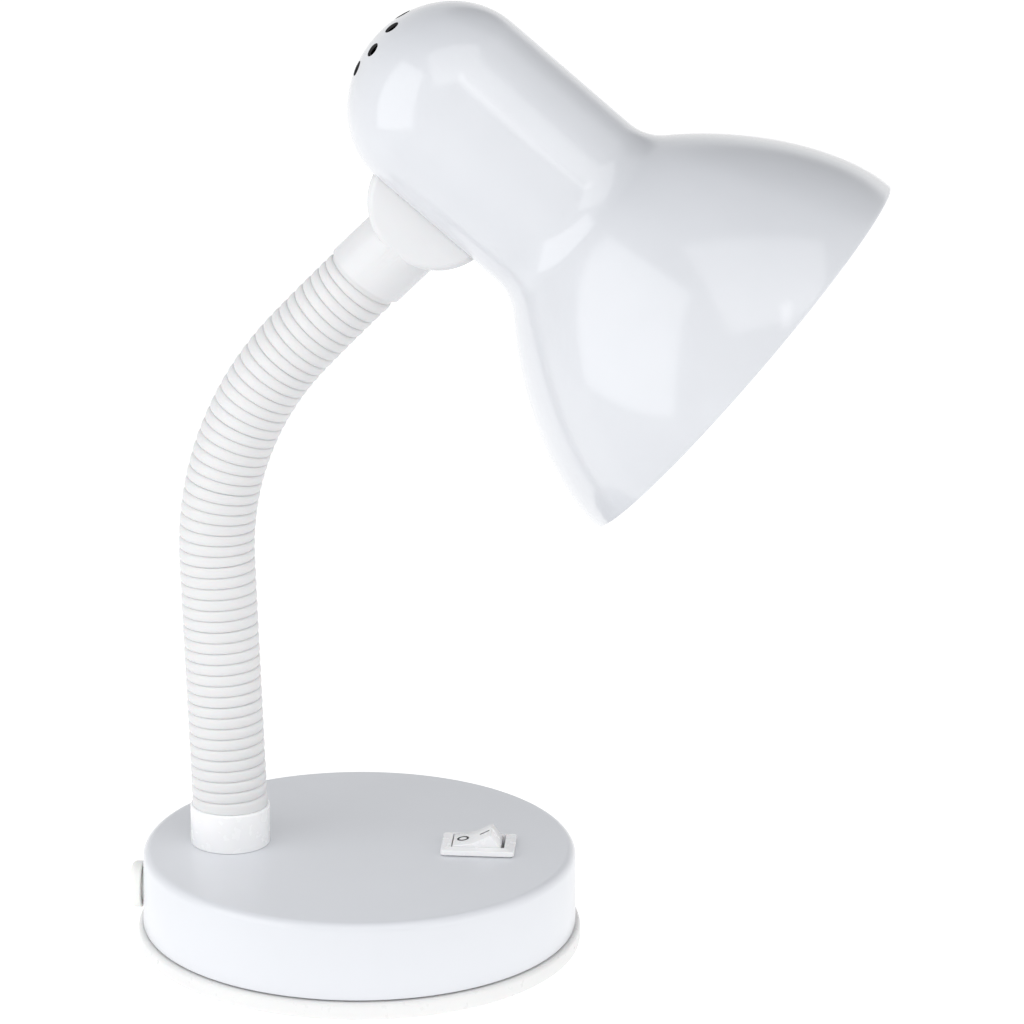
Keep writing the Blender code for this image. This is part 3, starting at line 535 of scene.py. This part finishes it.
ring_profile = [(0.0, RING_TOP), (LIP_R - LIP_W, RING_TOP), (LIP_R - LIP_W, RING_TOP + LIP_H),
                (LIP_R, RING_TOP + LIP_H), (LIP_R, RING_TOP)]
ring_profile += arc(BASE_R - PLATE_EDGE, RING_TOP - PLATE_EDGE, PLATE_EDGE, QUARTER, 0.0, 10)
ring_profile += arc(BASE_R - RING_LIFT, 2.0 * RING_LIFT, RING_LIFT, 0.0, -QUARTER, 6)
ring_profile += [(0.0572, RING_LIFT), (0.0572, PAD_T + 0.0006), (0.0, PAD_T + 0.0006)]
ring = lathe("base_ring", ring_profile, sides=256)
combine(ring, [box_tool((0.012, 0.020, 0.02), (-LIP_R, 0.0, RING_TOP + 0.01), HERE),
               rod_tool(BOLT_HEAD_HOLE_R, -0.002, BOLT_HEAD_HOLE_TOP, HERE),
               rod_tool(BOLT_HOLE_R, -0.002, 0.02, HERE)])
true_shading(ring, [(HERE, ring_profile)])
put(ring, ring_white, "base", "white_gloss_plastic", "base_plate")

pad = lathe("foot_pad", [(0.0, PAD_T), (PAD_R - 0.0004, PAD_T), (PAD_R, PAD_T - 0.0003),
                         (PAD_R, 0.0003), (PAD_R - 0.0003, 0.0), (0.0, 0.0)], sides=192)
put(pad, foam, "base", "pad_rubber", "base_pad")

tip = SHELL_R + GAP + BUSHING_PROUD
bead = 0.0018
bushing_profile = [(BUSHING_BORE_R, SHELL_R - 0.0085), (BUSHING_BORE_R, tip - 0.0008)]
bushing_profile += arc(BUSHING_BORE_R + 0.0008, tip - 0.0008, 0.0008, math.pi, QUARTER, 5)[1:]
bushing_profile += arc(BUSHING_R - bead, tip - bead, bead, QUARTER, 0.0, 10)
bushing_profile += [(BUSHING_R, SHELL_R + GAP + 0.0003), (BUSHING_R - 0.0003, SHELL_R + GAP),
                    (BUSHING_SHANK_R, SHELL_R + GAP), (BUSHING_SHANK_R, SHELL_R - 0.0085)]
bushing = lathe("cord_inlet_bushing", bushing_profile, BUSHING, 96)
put(bushing, bushing_white, "base", "white_matte_plastic", "cord_bushing")

collar_low = SHELL_TOP + FOOT_LIFT
foot_profile = [(HOSE_R + HOSE_PLAY, FERRULE_TOP)]
foot_profile += arc(FERRULE_R - FOOT_EDGE, FERRULE_TOP - FOOT_EDGE, FOOT_EDGE, QUARTER, 0.0, 6)
foot_profile += arc(FERRULE_R - 0.0003, collar_low + 0.0003, 0.0003, 0.0, -QUARTER, 3)
foot_profile += [(HOSE_R + HOSE_PLAY, collar_low)]
foot = lathe("neck_foot_collar", foot_profile, ROOT, 128)
put(foot, lit_foot_white, "base", "white_gloss_plastic", "neck_ferrule")

# ---------------------------------------------------------------- switch
pocket_l = 2.0 * (ROCKER_HALF + 0.85 * GAP)
pocket_w = ROCKER_W + 2.0 * GAP
rim_low = SHELL_TOP + GAP
rim_top = rim_low + BEZEL_T
rim_side = rim_low + 0.00125
bezel = loft("switch_bezel", [
    slab(BEZEL_L - 0.0018, BEZEL_W - 0.0021, 0.0006, SHELL_TOP - 0.0095),
    slab(BEZEL_L - 0.0018, BEZEL_W - 0.0021, 0.0006, rim_low),
    slab(BEZEL_L - 0.0003, BEZEL_W - 0.0003, 0.0010, rim_low),
    slab(BEZEL_L, BEZEL_W, 0.0011, rim_low + 0.00015),
    slab(BEZEL_L, BEZEL_W, 0.0011, rim_side),
    slab(BEZEL_L - 0.00012, BEZEL_W - 0.00012, 0.00105, rim_side + 0.00015),
    slab(BEZEL_L - 0.00040, BEZEL_W - 0.00040, 0.00095, rim_side + 0.00027),
    slab(pocket_l + 0.00110, pocket_w + 0.00110, 0.0007, rim_top - 0.00008),
    slab(pocket_l + 0.00080, pocket_w + 0.00080, 0.0006, rim_top),
    slab(pocket_l + 0.00030, pocket_w + 0.00030, 0.0005, rim_top),
    slab(pocket_l + 0.00008, pocket_w + 0.00008, 0.0004, rim_top - 0.00008),
    slab(pocket_l, pocket_w, 0.0004, rim_top - 0.00030),
    slab(pocket_l, pocket_w, 0.0004, SHELL_TOP - 0.0077)], SWITCH, crease=24.0)
put(bezel, lit_foot_white, "base", "white_gloss_plastic", "switch_housing")

half_w = ROCKER_W / 2.0
outline = rounded(
    [(-ROCKER_TIP, ROCKER_END_H), (0.0, ROCKER_MID_H - 0.00005), (ROCKER_TIP, ROCKER_END_H),
     (ROCKER_HALF, 0.0010), (0.76 * ROCKER_HALF, -0.0028), (-0.76 * ROCKER_HALF, -0.0028),
     (-ROCKER_HALF, 0.0010)],
    [0.00045, 0.0100, 0.00045, 0.0008, 0.0006, 0.0006, 0.0008], 8)
flat_outline = np.array(outline)
tangent = np.roll(flat_outline, -1, 0) - np.roll(flat_outline, 1, 0)
inward = np.stack([tangent[:, 1], -tangent[:, 0]], 1)
inward = inward / np.linalg.norm(inward, axis=1)[:, None]
ease = 0.0003
rocker_loops = []
for side, steps in ((-1.0, range(5)), (1.0, range(4, -1, -1))):
    for step in steps:
        lean = QUARTER * step / 5.0
        y = side * (half_w - ease + ease * math.cos(lean))
        loop = flat_outline + inward * ease * (1.0 - math.sin(lean))
        rocker_loops.append([(x, y, z) for x, z in loop])
key = loft("rocker_key", rocker_loops, ROCKER, crease=30.0)
put(key, lit_foot_white, "rocker", "white_gloss_plastic", "switch_rocker")


def key_top(x):
    """Height of the rocker's upper face."""
    top = flat_outline[flat_outline[:, 1] > 0.004]
    order = top[:, 0].argsort()
    return float(np.interp(x, top[order, 0], top[order, 1]))


def printed(name, outer, inner=None):
    """A thin printed mark on the rocker's upper face."""
    def lay(loop, lift):
        return [(x, y, key_top(x) + lift) for x, y in loop]
    loops = [lay(outer, -MARK_SINK), lay(outer, MARK_LIFT)]
    if inner:
        loops += [lay(inner, MARK_LIFT), lay(inner, -MARK_SINK)]
    mark = loft(name, loops, ROCKER, closed=bool(inner))
    wear_finish(mark, ink)
    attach(mark, "rocker")
    return mark


def circle(cx, radius, count=48):
    return [(cx + radius * math.cos(2.0 * math.pi * k / count),
             radius * math.sin(2.0 * math.pi * k / count)) for k in range(count)]


printed("mark_off", circle(-0.0030, 0.00172), circle(-0.0030, 0.00108))
bar = rounded([(0.0020, -0.00029), (0.0050, -0.00029), (0.0050, 0.00029), (0.0020, 0.00029)],
              [0.0001] * 4, 2)
printed("mark_on", bar)

# ---------------------------------------------------------------- ribbed neck sleeve
rib = NECK_LENGTH / RIBS
shape = [0.0, 0.05, 0.12, 0.22, 0.34, 0.5, 0.66, 0.78, 0.88, 0.95]
sleeve_low = 0.0001
sleeve_high = NECK_LENGTH + SLEEVE_R * math.tan(MOUTH_SKEW) + 0.0002
marks = [sleeve_low]
for link in range(1, NECK_LINKS - 1):
    marks.append(round((link + 0.5) * PITCH / rib) * rib)
marks.append(sleeve_high)
runs = [(i + s) * rib for i in range(RIBS + 1) for s in shape]


def rib_radius(run):
    """Outer radius of the sleeve at a length along the neck."""
    if run < 0.4 * rib:
        return SLEEVE_R
    if run > NECK_LENGTH:
        return SLEEVE_R - MOUTH_STEP
    u = abs(2.0 * ((run / rib) % 1.0) - 1.0)
    return SLEEVE_R - RIB_DEPTH * (1.0 - (1.0 - u ** RIB_CROWN) ** 0.5)


def ring_at(run, radius, skew):
    """A loop round the neck, leaning by an angle off square."""
    x, z, lean = neck_at(run)
    place = shift(x, 0.0, z) @ turn(lean - skew, "Y")
    rise = 1.0 / math.cos(skew)
    return [tuple(place @ Vector((radius * rise * math.cos(a), radius * math.sin(a), 0.0)))
            for a in (2.0 * math.pi * k / SLEEVE_SIDES for k in range(SLEEVE_SIDES))]


for link in range(1, NECK_LINKS):
    low, high = marks[link - 1], marks[link]
    inside = [r for r in runs if low + 1e-6 < r < high - 1e-6]
    stops = [low] + inside + [high]
    loops = []
    for run in stops:
        skew = MOUTH_SKEW * min(1.0, max(0.0, (run - sleeve_high + MOUTH_RUN) / MOUTH_RUN)) ** 1.5
        skew += NECK_LEAN * max(0.0, 1.0 - run / FOOT_RUN)
        loops.append(ring_at(run, rib_radius(run), skew))
    top_skew = MOUTH_SKEW if link == NECK_LINKS - 1 else 0.0
    loops += [ring_at(high, SLEEVE_BORE_R, top_skew)]
    loops += [ring_at(high + (low - high) * i / 8.0, SLEEVE_BORE_R, 0.0) for i in range(1, 9)]
    sleeve = loft(f"ribbed_sleeve_{link}", loops, ROOT, crease=50.0, closed=True)
    wear_finish(sleeve, satin_white)
    for run in (low + BLEND_INSET, high - BLEND_INSET):
        x, z, lean = neck_at(run)
    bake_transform(sleeve)
    stands_for = [f"sleeve_{link}"] + ([f"sleeve_{NECK_LINKS}"] if link == NECK_LINKS - 1 else [])
    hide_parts(*stands_for)

# ---------------------------------------------------------------- knuckle
half_t = KNUCKLE_T / 2.0
knuckle_profile = [(0.0, half_t)]
knuckle_profile += arc(KNUCKLE_R - KNUCKLE_EDGE, half_t - KNUCKLE_EDGE, KNUCKLE_EDGE, QUARTER, 0.0, 14)
knuckle_profile += [(KNUCKLE_R, -KNUCKLE_WALL), (0.0, -KNUCKLE_WALL)]
collar_profile = [(0.0, -KNUCKLE_R / 2.0), (COLLAR_R, -KNUCKLE_R / 2.0),
                  (COLLAR_R, -KNUCKLE_REACH - 0.006), (0.0, -KNUCKLE_REACH - 0.006)]
collar_line = KNUCKLE @ shift(KNUCKLE_SHIFT, 0.0, 0.0)
mouth = (KNUCKLE @ shift(KNUCKLE_SHIFT, 0.0, SLEEVE_R * math.tan(MOUTH_SKEW) + GAP - KNUCKLE_REACH)
         @ turn(-MOUTH_SKEW, "Y"))
screw_reach = KNUCKLE_R - SCREW_INSET
screw_spots = (shift(-0.37 * screw_reach, 0.0, -0.76 * screw_reach),
               shift(0.67 * screw_reach, 0.0, -0.74 * screw_reach))
for side, tag in ((-1.0, "near"), (1.0, "far")):
    face = KNUCKLE @ turn(-side * QUARTER, "X")
    half = lathe(f"knuckle_half_{tag}", knuckle_profile, face, 160)
    combine(half, [lathe("tool", collar_profile, collar_line, 112)], "UNION")
    tools = [
        rod_tool(KNUCKLE_R - KNUCKLE_WALL, KNUCKLE_WALL - half_t, half_t - KNUCKLE_WALL,
                 KNUCKLE @ turn(QUARTER, "X")),
        rod_tool(HOSE_R + GAP, -0.05, -KNUCKLE_REACH + SOCKET, collar_line),
        rod_tool(WIRE_R, -0.05, -0.013, collar_line),
        box_tool((CUT, CUT, CUT), (0.0, 0.0, -CUT / 2.0), mouth),
        box_tool((CUT, CUT, CUT), (-KNUCKLE_FLAT - CUT / 2.0, 0.0, 0.0), HEAD),
        box_tool((CUT, CUT, CUT), (0.0, -side * (CUT / 2.0 - GAP / 2.0), 0.0), KNUCKLE),
        rod_tool(PIN_R + GAP, -KNUCKLE_T, KNUCKLE_T, KNUCKLE @ turn(QUARTER, "X"))]
    if side > 0.0:
        tools += [rod_tool(SCREW_HEAD_R + GAP, half_t - SCREW_HEAD_DEPTH, CUT,
                           KNUCKLE @ spot @ turn(-QUARTER, "X")) for spot in screw_spots]
    combine(half, tools)
    true_shading(half, [(face, knuckle_profile), (collar_line, collar_profile)])
    put(half, part_white, "knuckle", "white_gloss_plastic", f"knuckle_{tag}")

# ---------------------------------------------------------------- shade
fillet_end = (SHADE_R + FLARE_FILLET * (1.0 - math.cos(FLARE_ANGLE)),
              PIVOT_TO_FLARE + FLARE_FILLET * math.sin(FLARE_ANGLE))
rim = (RIM_R, PIVOT_TO_RIM)
pull = 0.39 * math.hypot(rim[0] - fillet_end[0], rim[1] - fillet_end[1])
hand_a = (fillet_end[0] + pull * math.sin(FLARE_ANGLE), fillet_end[1] + pull * math.cos(FLARE_ANGLE))
hand_b = (rim[0], rim[1] - 0.62 * pull)
dome_base = DOME_DEPTH - DOME_TO_PIVOT
outer = [(SHADE_R * math.sin(QUARTER * i / 32.0),
          dome_base - DOME_DEPTH * math.cos(QUARTER * i / 32.0)) for i in range(33)]
outer += [(SHADE_R + FLARE_FILLET * (1.0 - math.cos(FLARE_ANGLE * i / 16.0)),
           PIVOT_TO_FLARE + FLARE_FILLET * math.sin(FLARE_ANGLE * i / 16.0)) for i in range(17)]
for i in range(1, 37):
    t = i / 36.0
    weights = ((1 - t) ** 3, 3 * t * (1 - t) ** 2, 3 * t * t * (1 - t), t ** 3)
    spots = (fillet_end, hand_a, hand_b, rim)
    outer.append(tuple(sum(w * s[k] for w, s in zip(weights, spots)) for k in (0, 1)))
outer = np.array(outer)
slope = np.gradient(outer, axis=0)
slope = slope / np.linalg.norm(slope, axis=1)[:, None]
slope[0] = (1.0, 0.0)
away = np.stack([slope[:, 1], -slope[:, 0]], 1)
skin = outer - away * SKIN
lining = outer - away * (WALL - SKIN)
skin[0, 0] = lining[0, 0] = 0.0
bead_r = (WALL - 2.0 * SKIN) / 2.0
bead_mid = (skin[-1] + lining[-1]) / 2.0 - np.array([0.0, bead_r])
keep = outer[:, 1] < PIVOT_TO_RIM - 2.0 * bead_r
skin, lining = skin[keep], lining[keep]
rim_bead = arc(bead_mid[0], bead_mid[1], bead_r, math.pi, 0.0, 8)
shade_profile = [tuple(p) for p in lining] + rim_bead + [tuple(p) for p in skin[::-1]]
shade = lathe("shade_spinning", shade_profile, AXIS, 224)
side_depth = math.sqrt((SHADE_R - WALL) ** 2 - half_t ** 2) - PIVOT_OFF
chord = math.sqrt(KNUCKLE_R ** 2 - side_depth ** 2)
tools = [box_tool((SHADE_R, KNUCKLE_T + 2.0 * GAP, 2.0 * (chord + GAP)),
                  (SHADE_R / 2.0 - KNUCKLE_FLAT / 2.0, 0.0, 0.0), HEAD)]
for i in range(VENT_COUNT):
    a = VENT_TURN + 2.0 * math.pi * i / VENT_COUNT
    spot = AXIS @ shift(VENT_RING * math.cos(a), VENT_RING * math.sin(a), 0.0)
    tools.append(rod_tool(VENT_R, -DOME_TO_PIVOT - 0.01, -DOME_TO_PIVOT + 0.01, spot, 40))
combine(shade, tools)
true_shading(shade, [(AXIS, shade_profile)])
put(shade, enamel, "head", "white_enamel", "shade")
# Inward faces of the dome behind the bracket get the near-black painted shade.
shade.data.materials.append(painted_dome_shade)
into = np.array(AXIS.inverted())
squash = (SHADE_R / DOME_DEPTH) ** 2
for face in shade.data.polygons:
    spot = into[:3, :3] @ np.array(face.center) + into[:3, 3]
    facing = into[:3, :3] @ np.array(face.normal)
    proud = np.array([spot[0], spot[1], min(0.0, spot[2] - dome_base) * squash])
    if spot[2] < DOME_SHADE_END and facing @ proud < 0.5 * np.linalg.norm(proud):
        face.material_index = 1

# ---------------------------------------------------------------- lampholder and bulb
plate_high = KNUCKLE_R + 0.0016
holder_low = plate_high + GAP
holder_top = holder_low + HOLDER_L
holder_bore = CAP_R + 0.0011
floor_top = holder_low + 0.0022
holder_profile = [(0.0, floor_top), (holder_bore, floor_top), (holder_bore, holder_top - 0.0005),
                  (holder_bore + 0.0005, holder_top)]
holder_profile += arc(HOLDER_R - 0.0012, holder_top - 0.0012, 0.0012, QUARTER, 0.0, 6)
for i in range(9):
    z = holder_top - 0.0035 - i * 0.0011
    holder_profile += [(HOLDER_R, z), (HOLDER_R - 0.0003, z - 0.0003),
                       (HOLDER_R - 0.0003, z - 0.0006), (HOLDER_R, z - 0.0009)]
holder_profile += [(HOLDER_R, holder_low + 0.0010), (HOLDER_R - 0.0010, holder_low), (0.0, holder_low)]
holder = lathe("lampholder_shell", holder_profile, AXIS, 112)
put(holder, black_plastic, "head", "black_plastic", "lampholder_body")

grip_mid = holder_low + 0.62 * HOLDER_L


def grip(r, z, a):
    """Cuts grip flutes into the ring's outer side."""
    return r - (0.00035 * (0.5 + 0.5 * math.cos(36.0 * a)) if r > HOLDER_R + 0.002 else 0.0)


grip_profile = [(HOLDER_R + GAP, grip_mid + 0.0025), (HOLDER_R + 0.0022, grip_mid + 0.0025),
                (HOLDER_R + 0.0029, grip_mid + 0.0018), (HOLDER_R + 0.0029, grip_mid - 0.0018),
                (HOLDER_R + 0.0022, grip_mid - 0.0025), (HOLDER_R + GAP, grip_mid - 0.0025)]
grip_ring = lathe("lampholder_grip_ring", grip_profile, AXIS, 288, wave=grip)
put(grip_ring, black_plastic, "head", "black_plastic", "lampholder_ring")

bulb_low = floor_top + 0.0011 + GAP
bulb_high = bulb_low + BULB_L
cap_low = bulb_low + 0.0026
cap_top = holder_top + 0.0012


def threaded(r, z, a):
    """Cuts a screw thread into the cap's side."""
    if r < CAP_R - 0.0006 or not cap_low + 0.003 < z < cap_top - 0.002:
        return r
    return r - THREAD_DEPTH * (0.5 - 0.5 * math.cos(2.0 * math.pi * z / THREAD_PITCH - a))


cap_profile = [(0.0, cap_top), (CAP_R - 0.0004, cap_top), (CAP_R, cap_top - 0.0004)]
thread_span = cap_top - 0.0010 - (cap_low + 0.0022)
cap_profile += [(CAP_R - 0.0001, cap_top - 0.0010 - thread_span * i / 60.0) for i in range(61)]
cap_profile += [(0.0062, cap_low), (0.0046, cap_low - 0.0014), (0.0040, bulb_low + 0.0003),
                (0.0036, bulb_low), (0.0, bulb_low)]
cap = lathe("bulb_screw_cap", cap_profile, AXIS, 96, wave=threaded)
put(cap, zinc, "head", "zinc_steel", "bulb_cap")

globe_mid = bulb_high - BULB_R
neck_r = CAP_R - 0.0010
neck_angle = math.asin(neck_r / BULB_R)
globe = [(0.0, bulb_high - SKIN)]
for i in range(1, 49):
    a = (math.pi - neck_angle) * i / 48.0
    globe.append(((BULB_R - SKIN) * math.sin(a), globe_mid + (BULB_R - SKIN) * math.cos(a)))
globe += [(neck_r - 0.0003, cap_top + GAP), (0.0, cap_top + GAP)]
bulb = lathe("bulb_globe", globe, AXIS, 128)
put(bulb, opal, "head", "opal_glass", "bulb_envelope")

# ---------------------------------------------------------------- pieces kept as they are
metal_nodes = ["weld_post", "base_bolt", "rocker_pin", "neck_stem", "neck_washer", "neck_nut",
               "knuckle_screw_1", "knuckle_screw_2", "head_bracket", "pivot_pin",
               "holder_screw_1", "holder_screw_2"]
metal_nodes += [f"hose_{k}" for k in range(1, NECK_LINKS + 1)]
for names, mat in ((metal_nodes, zinc), (["ballast_disc"], iron), (["bushing_nut"], satin_white),
                   (["switch_terminal_1", "switch_terminal_2", "tilt_washer_near",
                     "tilt_washer_far", "lampholder_thread", "lampholder_contact"], brass)):
    for name in names:
        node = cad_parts[name]
        for place in range(len(node.data.materials)):
            node.data.materials[place] = mat

# ---------------------------------------------------------------- stage


def falling(tree, source, start, end, low):
    """Falls smoothly from one to a lower value between two points."""
    node = tree.nodes.new("ShaderNodeMapRange")
    node.interpolation_type = "SMOOTHSTEP"
    for field, value in (("From Min", start), ("From Max", end), ("To Min", 1.0), ("To Max", low)):
        node.inputs[field].default_value = value
    tree.links.new(source, node.inputs["Value"])
    return node.outputs["Result"]


def joined(tree, kind, *terms):
    """A math node, fed by sockets or by plain numbers."""
    node = tree.nodes.new("ShaderNodeMath")
    node.operation = kind
    for place, term in enumerate(terms):
        if isinstance(term, float):
            node.inputs[place].default_value = term
        else:
            tree.links.new(term, node.inputs[place])
    return node.outputs["Value"]


def axes_of(tree, kind):
    """Texture coordinates of one kind, whole and as X, Y and Z."""
    whole = tree.nodes.new("ShaderNodeTexCoord").outputs[kind]
    split = tree.nodes.new("ShaderNodeSeparateXYZ")
    tree.links.new(whole, split.inputs["Vector"])
    return whole, split.outputs


floor = make("floor", [(-FLOOR_HALF, -FLOOR_HALF, 0.0), (FLOOR_HALF, -FLOOR_HALF, 0.0),
                       (FLOOR_HALF, FLOOR_HALF, 0.0), (-FLOOR_HALF, FLOOR_HALF, 0.0)],
             [(0, 1, 2, 3)])
floor_white = finish("floor_white", (0.55, 0.55, 0.55), 0.7, 60.0, 0.00002, mottle=0.004, glow=FLOOR_GLOW)
tree = floor_white.node_tree
whole, axes = axes_of(tree, "Object")
# The floor's glow is painted light that lights the lamp from below. It falls off to the sides, darkening
# reflections on the shade's edges, and dips in a band in front of the base: a painted shadow on the floor
# that also dims the drum's front.
aside = falling(tree, joined(tree, "ABSOLUTE", axes["X"]), 0.42, 1.40, 0.86)
forward = joined(tree, "MULTIPLY", axes["Y"], -1.0)
painted_front_shadow = joined(tree, "SUBTRACT", falling(tree, forward, 0.062, 0.125, 0.74),
             falling(tree, forward, 0.22, 0.60, 0.82))
share = joined(tree, "MULTIPLY", aside, joined(tree, "ADD", painted_front_shadow, 1.0))
tree.links.new(joined(tree, "MULTIPLY", share, FLOOR_GLOW),
               tree.nodes["Principled BSDF"].inputs["Emission Strength"])
floor.data.materials.append(floor_white)
floor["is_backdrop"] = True


def softbox(name, centre, aim, width, height, radiance, colour=(1.0, 1.0, 1.0)):
    """A flat light of a given brightness, facing a point."""
    light = bpy.data.lights.new(name, "AREA")
    light.shape = "RECTANGLE"
    light.size = width
    light.size_y = height
    light.energy = radiance * math.pi * width * height
    light.color = colour
    lamp = bpy.data.objects.new(name, light)
    lamp.location = centre
    lamp.rotation_euler = (Vector(aim) - Vector(centre)).to_track_quat("-Z", "Y").to_euler()
    scene.collection.objects.link(lamp)
    return lamp


aim = (0.05, -0.03, 0.20)
softbox("window_left", (-0.50, -0.35, 0.46), (0.05, -0.03, 0.46), 0.58, 0.86, 1.00,
        (0.97, 0.985, 1.0))
softbox("strip_right", (0.49, -0.97, 1.00), aim, 0.14, 0.34, 1.1)
softbox("fill_right", (1.15, -0.55, 0.40), (0.0, 0.0, 0.12), 1.1, 0.7, 0.80)
softbox("top_front", (0.28, -0.74, 1.40), aim, 1.5, 1.2, 0.74)

world = bpy.data.worlds.new("studio")
scene.world = world
world.use_nodes = True
tree = world.node_tree
sky = tree.nodes["Background"]
whole, axes = axes_of(tree, "Generated")
ramp = tree.nodes.new("ShaderNodeValToRGB")
low_end, high_end = ramp.color_ramp.elements
low_end.position, low_end.color = 0.45, (1.0, 1.0, 1.0, 1.0)
high_end.position, high_end.color = 0.95, (0.40, 0.41, 0.43, 1.0)
tree.links.new(joined(tree, "MULTIPLY_ADD", axes["Y"], 0.30, axes["Z"]), ramp.inputs["Fac"])
dark = tree.nodes.new("ShaderNodeVectorMath")
dark.operation = "DOT_PRODUCT"
dark.inputs[1].default_value = (0.295, 0.695, 0.656)
tree.links.new(whole, dark.inputs[0])
dim = tree.nodes.new("ShaderNodeVectorMath")
dim.operation = "SCALE"
tree.links.new(ramp.outputs["Color"], dim.inputs[0])
tree.links.new(falling(tree, dark.outputs["Value"], 0.88, 0.97, 0.25), dim.inputs["Scale"])
tree.links.new(dim.outputs["Vector"], sky.inputs["Color"])
sky.inputs["Strength"].default_value = 0.86

# ---------------------------------------------------------------- camera
yaw, pitch, roll = -0.06232, 0.30232, 0.00830
ahead = Vector((math.sin(yaw) * math.cos(pitch), math.cos(yaw) * math.cos(pitch), -math.sin(pitch)))
level = Vector((math.cos(yaw), -math.sin(yaw), 0.0))
above = level.cross(ahead)
right = math.cos(roll) * level + math.sin(roll) * above
up = -math.sin(roll) * level + math.cos(roll) * above
lens = bpy.data.cameras.new("camera")
lens.sensor_width = 36.0
lens.lens = 175.78
lens.clip_start = 0.05
lens.clip_end = 50.0
camera = bpy.data.objects.new("camera", lens)
spin = Matrix((right, up, -ahead)).transposed()
camera.matrix_world = Matrix.Translation((0.12622, -1.33441, 0.54647)) @ spin.to_4x4()
scene.collection.objects.link(camera)
scene.camera = camera

low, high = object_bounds()
